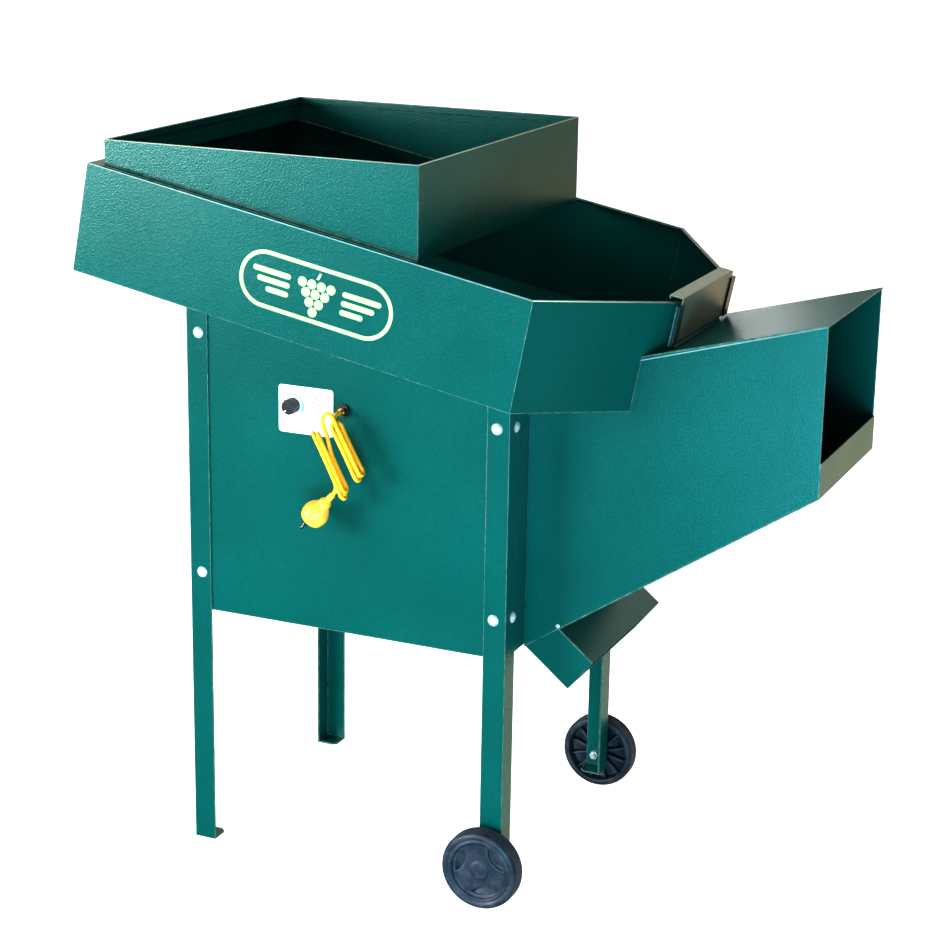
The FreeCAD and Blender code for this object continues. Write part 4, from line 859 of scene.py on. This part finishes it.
def edge_beads():
    """Rounded rims of the sheet, coloured pale as painted highlights: round the hopper, along the
    tray and on the duct's fold.
    """
    up = slope_axis()
    pieces = [(sweep("hopper_rim", hopper_rim(), RIM_BEAD, Vector((0, 0, 1)), closed=True),
               "rim_painted_highlight")]
    for side, corner in (("front", 0), ("rear", 1)):
        node = "tray_%s_wall" % side
        start, bend, end = tray_hem(node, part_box(node)[corner].y, up)
        pieces.append((sweep("tray_hem_" + side, [start, bend], HEM_BEAD, up), "hem_painted_highlight"))
        pieces.append((sweep("chamfer_hem_" + side, [bend, end], RIM_BEAD, up), "rim_painted_highlight"))
    left = corner_of("duct_front_plate", lambda p: p.z - 0.5 * p.x - p.y)
    right = corner_of("duct_front_plate", lambda p: p.z + 0.5 * p.x - p.y)
    pieces.append((sweep("duct_fold", [left, right], FOLD_BEAD, Vector((0, -1, 0))),
                   "hem_painted_highlight"))
    for obj, finish in pieces:
        dress(obj, MATERIALS[finish], "machine")


# ---- stage ----
def floor():
    bm = bmesh.new()
    bmesh.ops.create_grid(bm, x_segments=1, y_segments=1, size=FLOOR_HALF)
    obj = add_mesh("floor", bm, smooth=False)
    obj.location.z = -FLOOR_DROP
    n = Nodes("floor")
    n.set(Base_Color=(0.86, 0.86, 0.86), Roughness=0.9, Specular_IOR_Level=0.1,
          Emission_Color=WHITE, Emission_Strength=0.72)
    obj.data.materials.append(n.material)
    obj.visible_glossy = False


def area_light(name, place, target, size, power, colour):
    data = bpy.data.lights.new(name, "AREA")
    data.shape = "RECTANGLE"
    data.size, data.size_y = size
    data.energy = power
    data.color = colour
    obj = bpy.data.objects.new(name, data)
    bpy.context.scene.collection.objects.link(obj)
    obj.location = place
    aim = (Vector(target) - Vector(place)).to_track_quat("-Z", "Y")
    obj.rotation_euler = aim.to_euler()
    return obj


def sky():
    """White to the eye.  What lights and mirrors in the object is a dim hall, by height: dark in
    front; behind, a warm floor, a dark wall and bright windows above it."""
    world = bpy.data.worlds.new("studio")
    bpy.context.scene.world = world
    world.use_nodes = True
    tree = world.node_tree
    place = tree.nodes.new("ShaderNodeTexCoord").outputs["Generated"]
    parts = tree.nodes.new("ShaderNodeSeparateXYZ")
    tree.links.new(place, parts.inputs[0])

    def spread(source, low, high, kind):
        node = tree.nodes.new("ShaderNodeMapRange")
        node.interpolation_type = kind
        tree.links.new(source, node.inputs["Value"])
        node.inputs["From Min"].default_value = low
        node.inputs["From Max"].default_value = high
        return node.outputs["Result"]

    def bands(stops):
        node = tree.nodes.new("ShaderNodeValToRGB")
        tree.links.new(height, node.inputs["Fac"])
        marks = node.color_ramp.elements
        while len(marks) < len(stops):
            marks.new(0.5)
        for mark, (z, colour) in zip(marks, stops):
            mark.position = (z + 1) / 2
            mark.color = colour + (1.0,)
        return node.outputs["Color"]

    def mix(factor, a, b):
        node = tree.nodes.new("ShaderNodeMix")
        node.data_type = "RGBA"
        tree.links.new(factor, node.inputs[0])
        tree.links.new(a, node.inputs[6])
        if isinstance(b, tuple):
            node.inputs[7].default_value = b + (1.0,)
        else:
            tree.links.new(b, node.inputs[7])
        return node.outputs[2]

    height = spread(parts.outputs["Z"], -1, 1, "LINEAR")
    behind = spread(parts.outputs["Y"], -0.1, 0.5, "SMOOTHSTEP")
    hall = mix(behind, bands(HALL_FRONT), bands(HALL_BEHIND))
    seen = tree.nodes.new("ShaderNodeLightPath").outputs["Is Camera Ray"]
    background = tree.nodes["Background"]
    tree.links.new(mix(seen, hall, WHITE), background.inputs["Color"])
    background.inputs["Strength"].default_value = 1.0


def lights():
    for name, place, target, size, power, colour, mirrored in LIGHTS:
        area_light(name, place, target, size, power, colour).visible_glossy = mirrored


bpy.context.scene.view_settings.view_transform = "Standard"
bpy.context.scene.view_settings.look = "High Contrast"
camera()
mains_lead = lead()
plug = plug_body()
dress_cad()
running_wheel("front_wheel", -1)
running_wheel("rear_wheel", 1)
tray_decal()
hopper_flange("hopper_flange_front", -1)
hopper_flange("hopper_flange_rear", 1)
plate_print()
knob_pointer()
edge_beads()
sky()
lights()
floor()
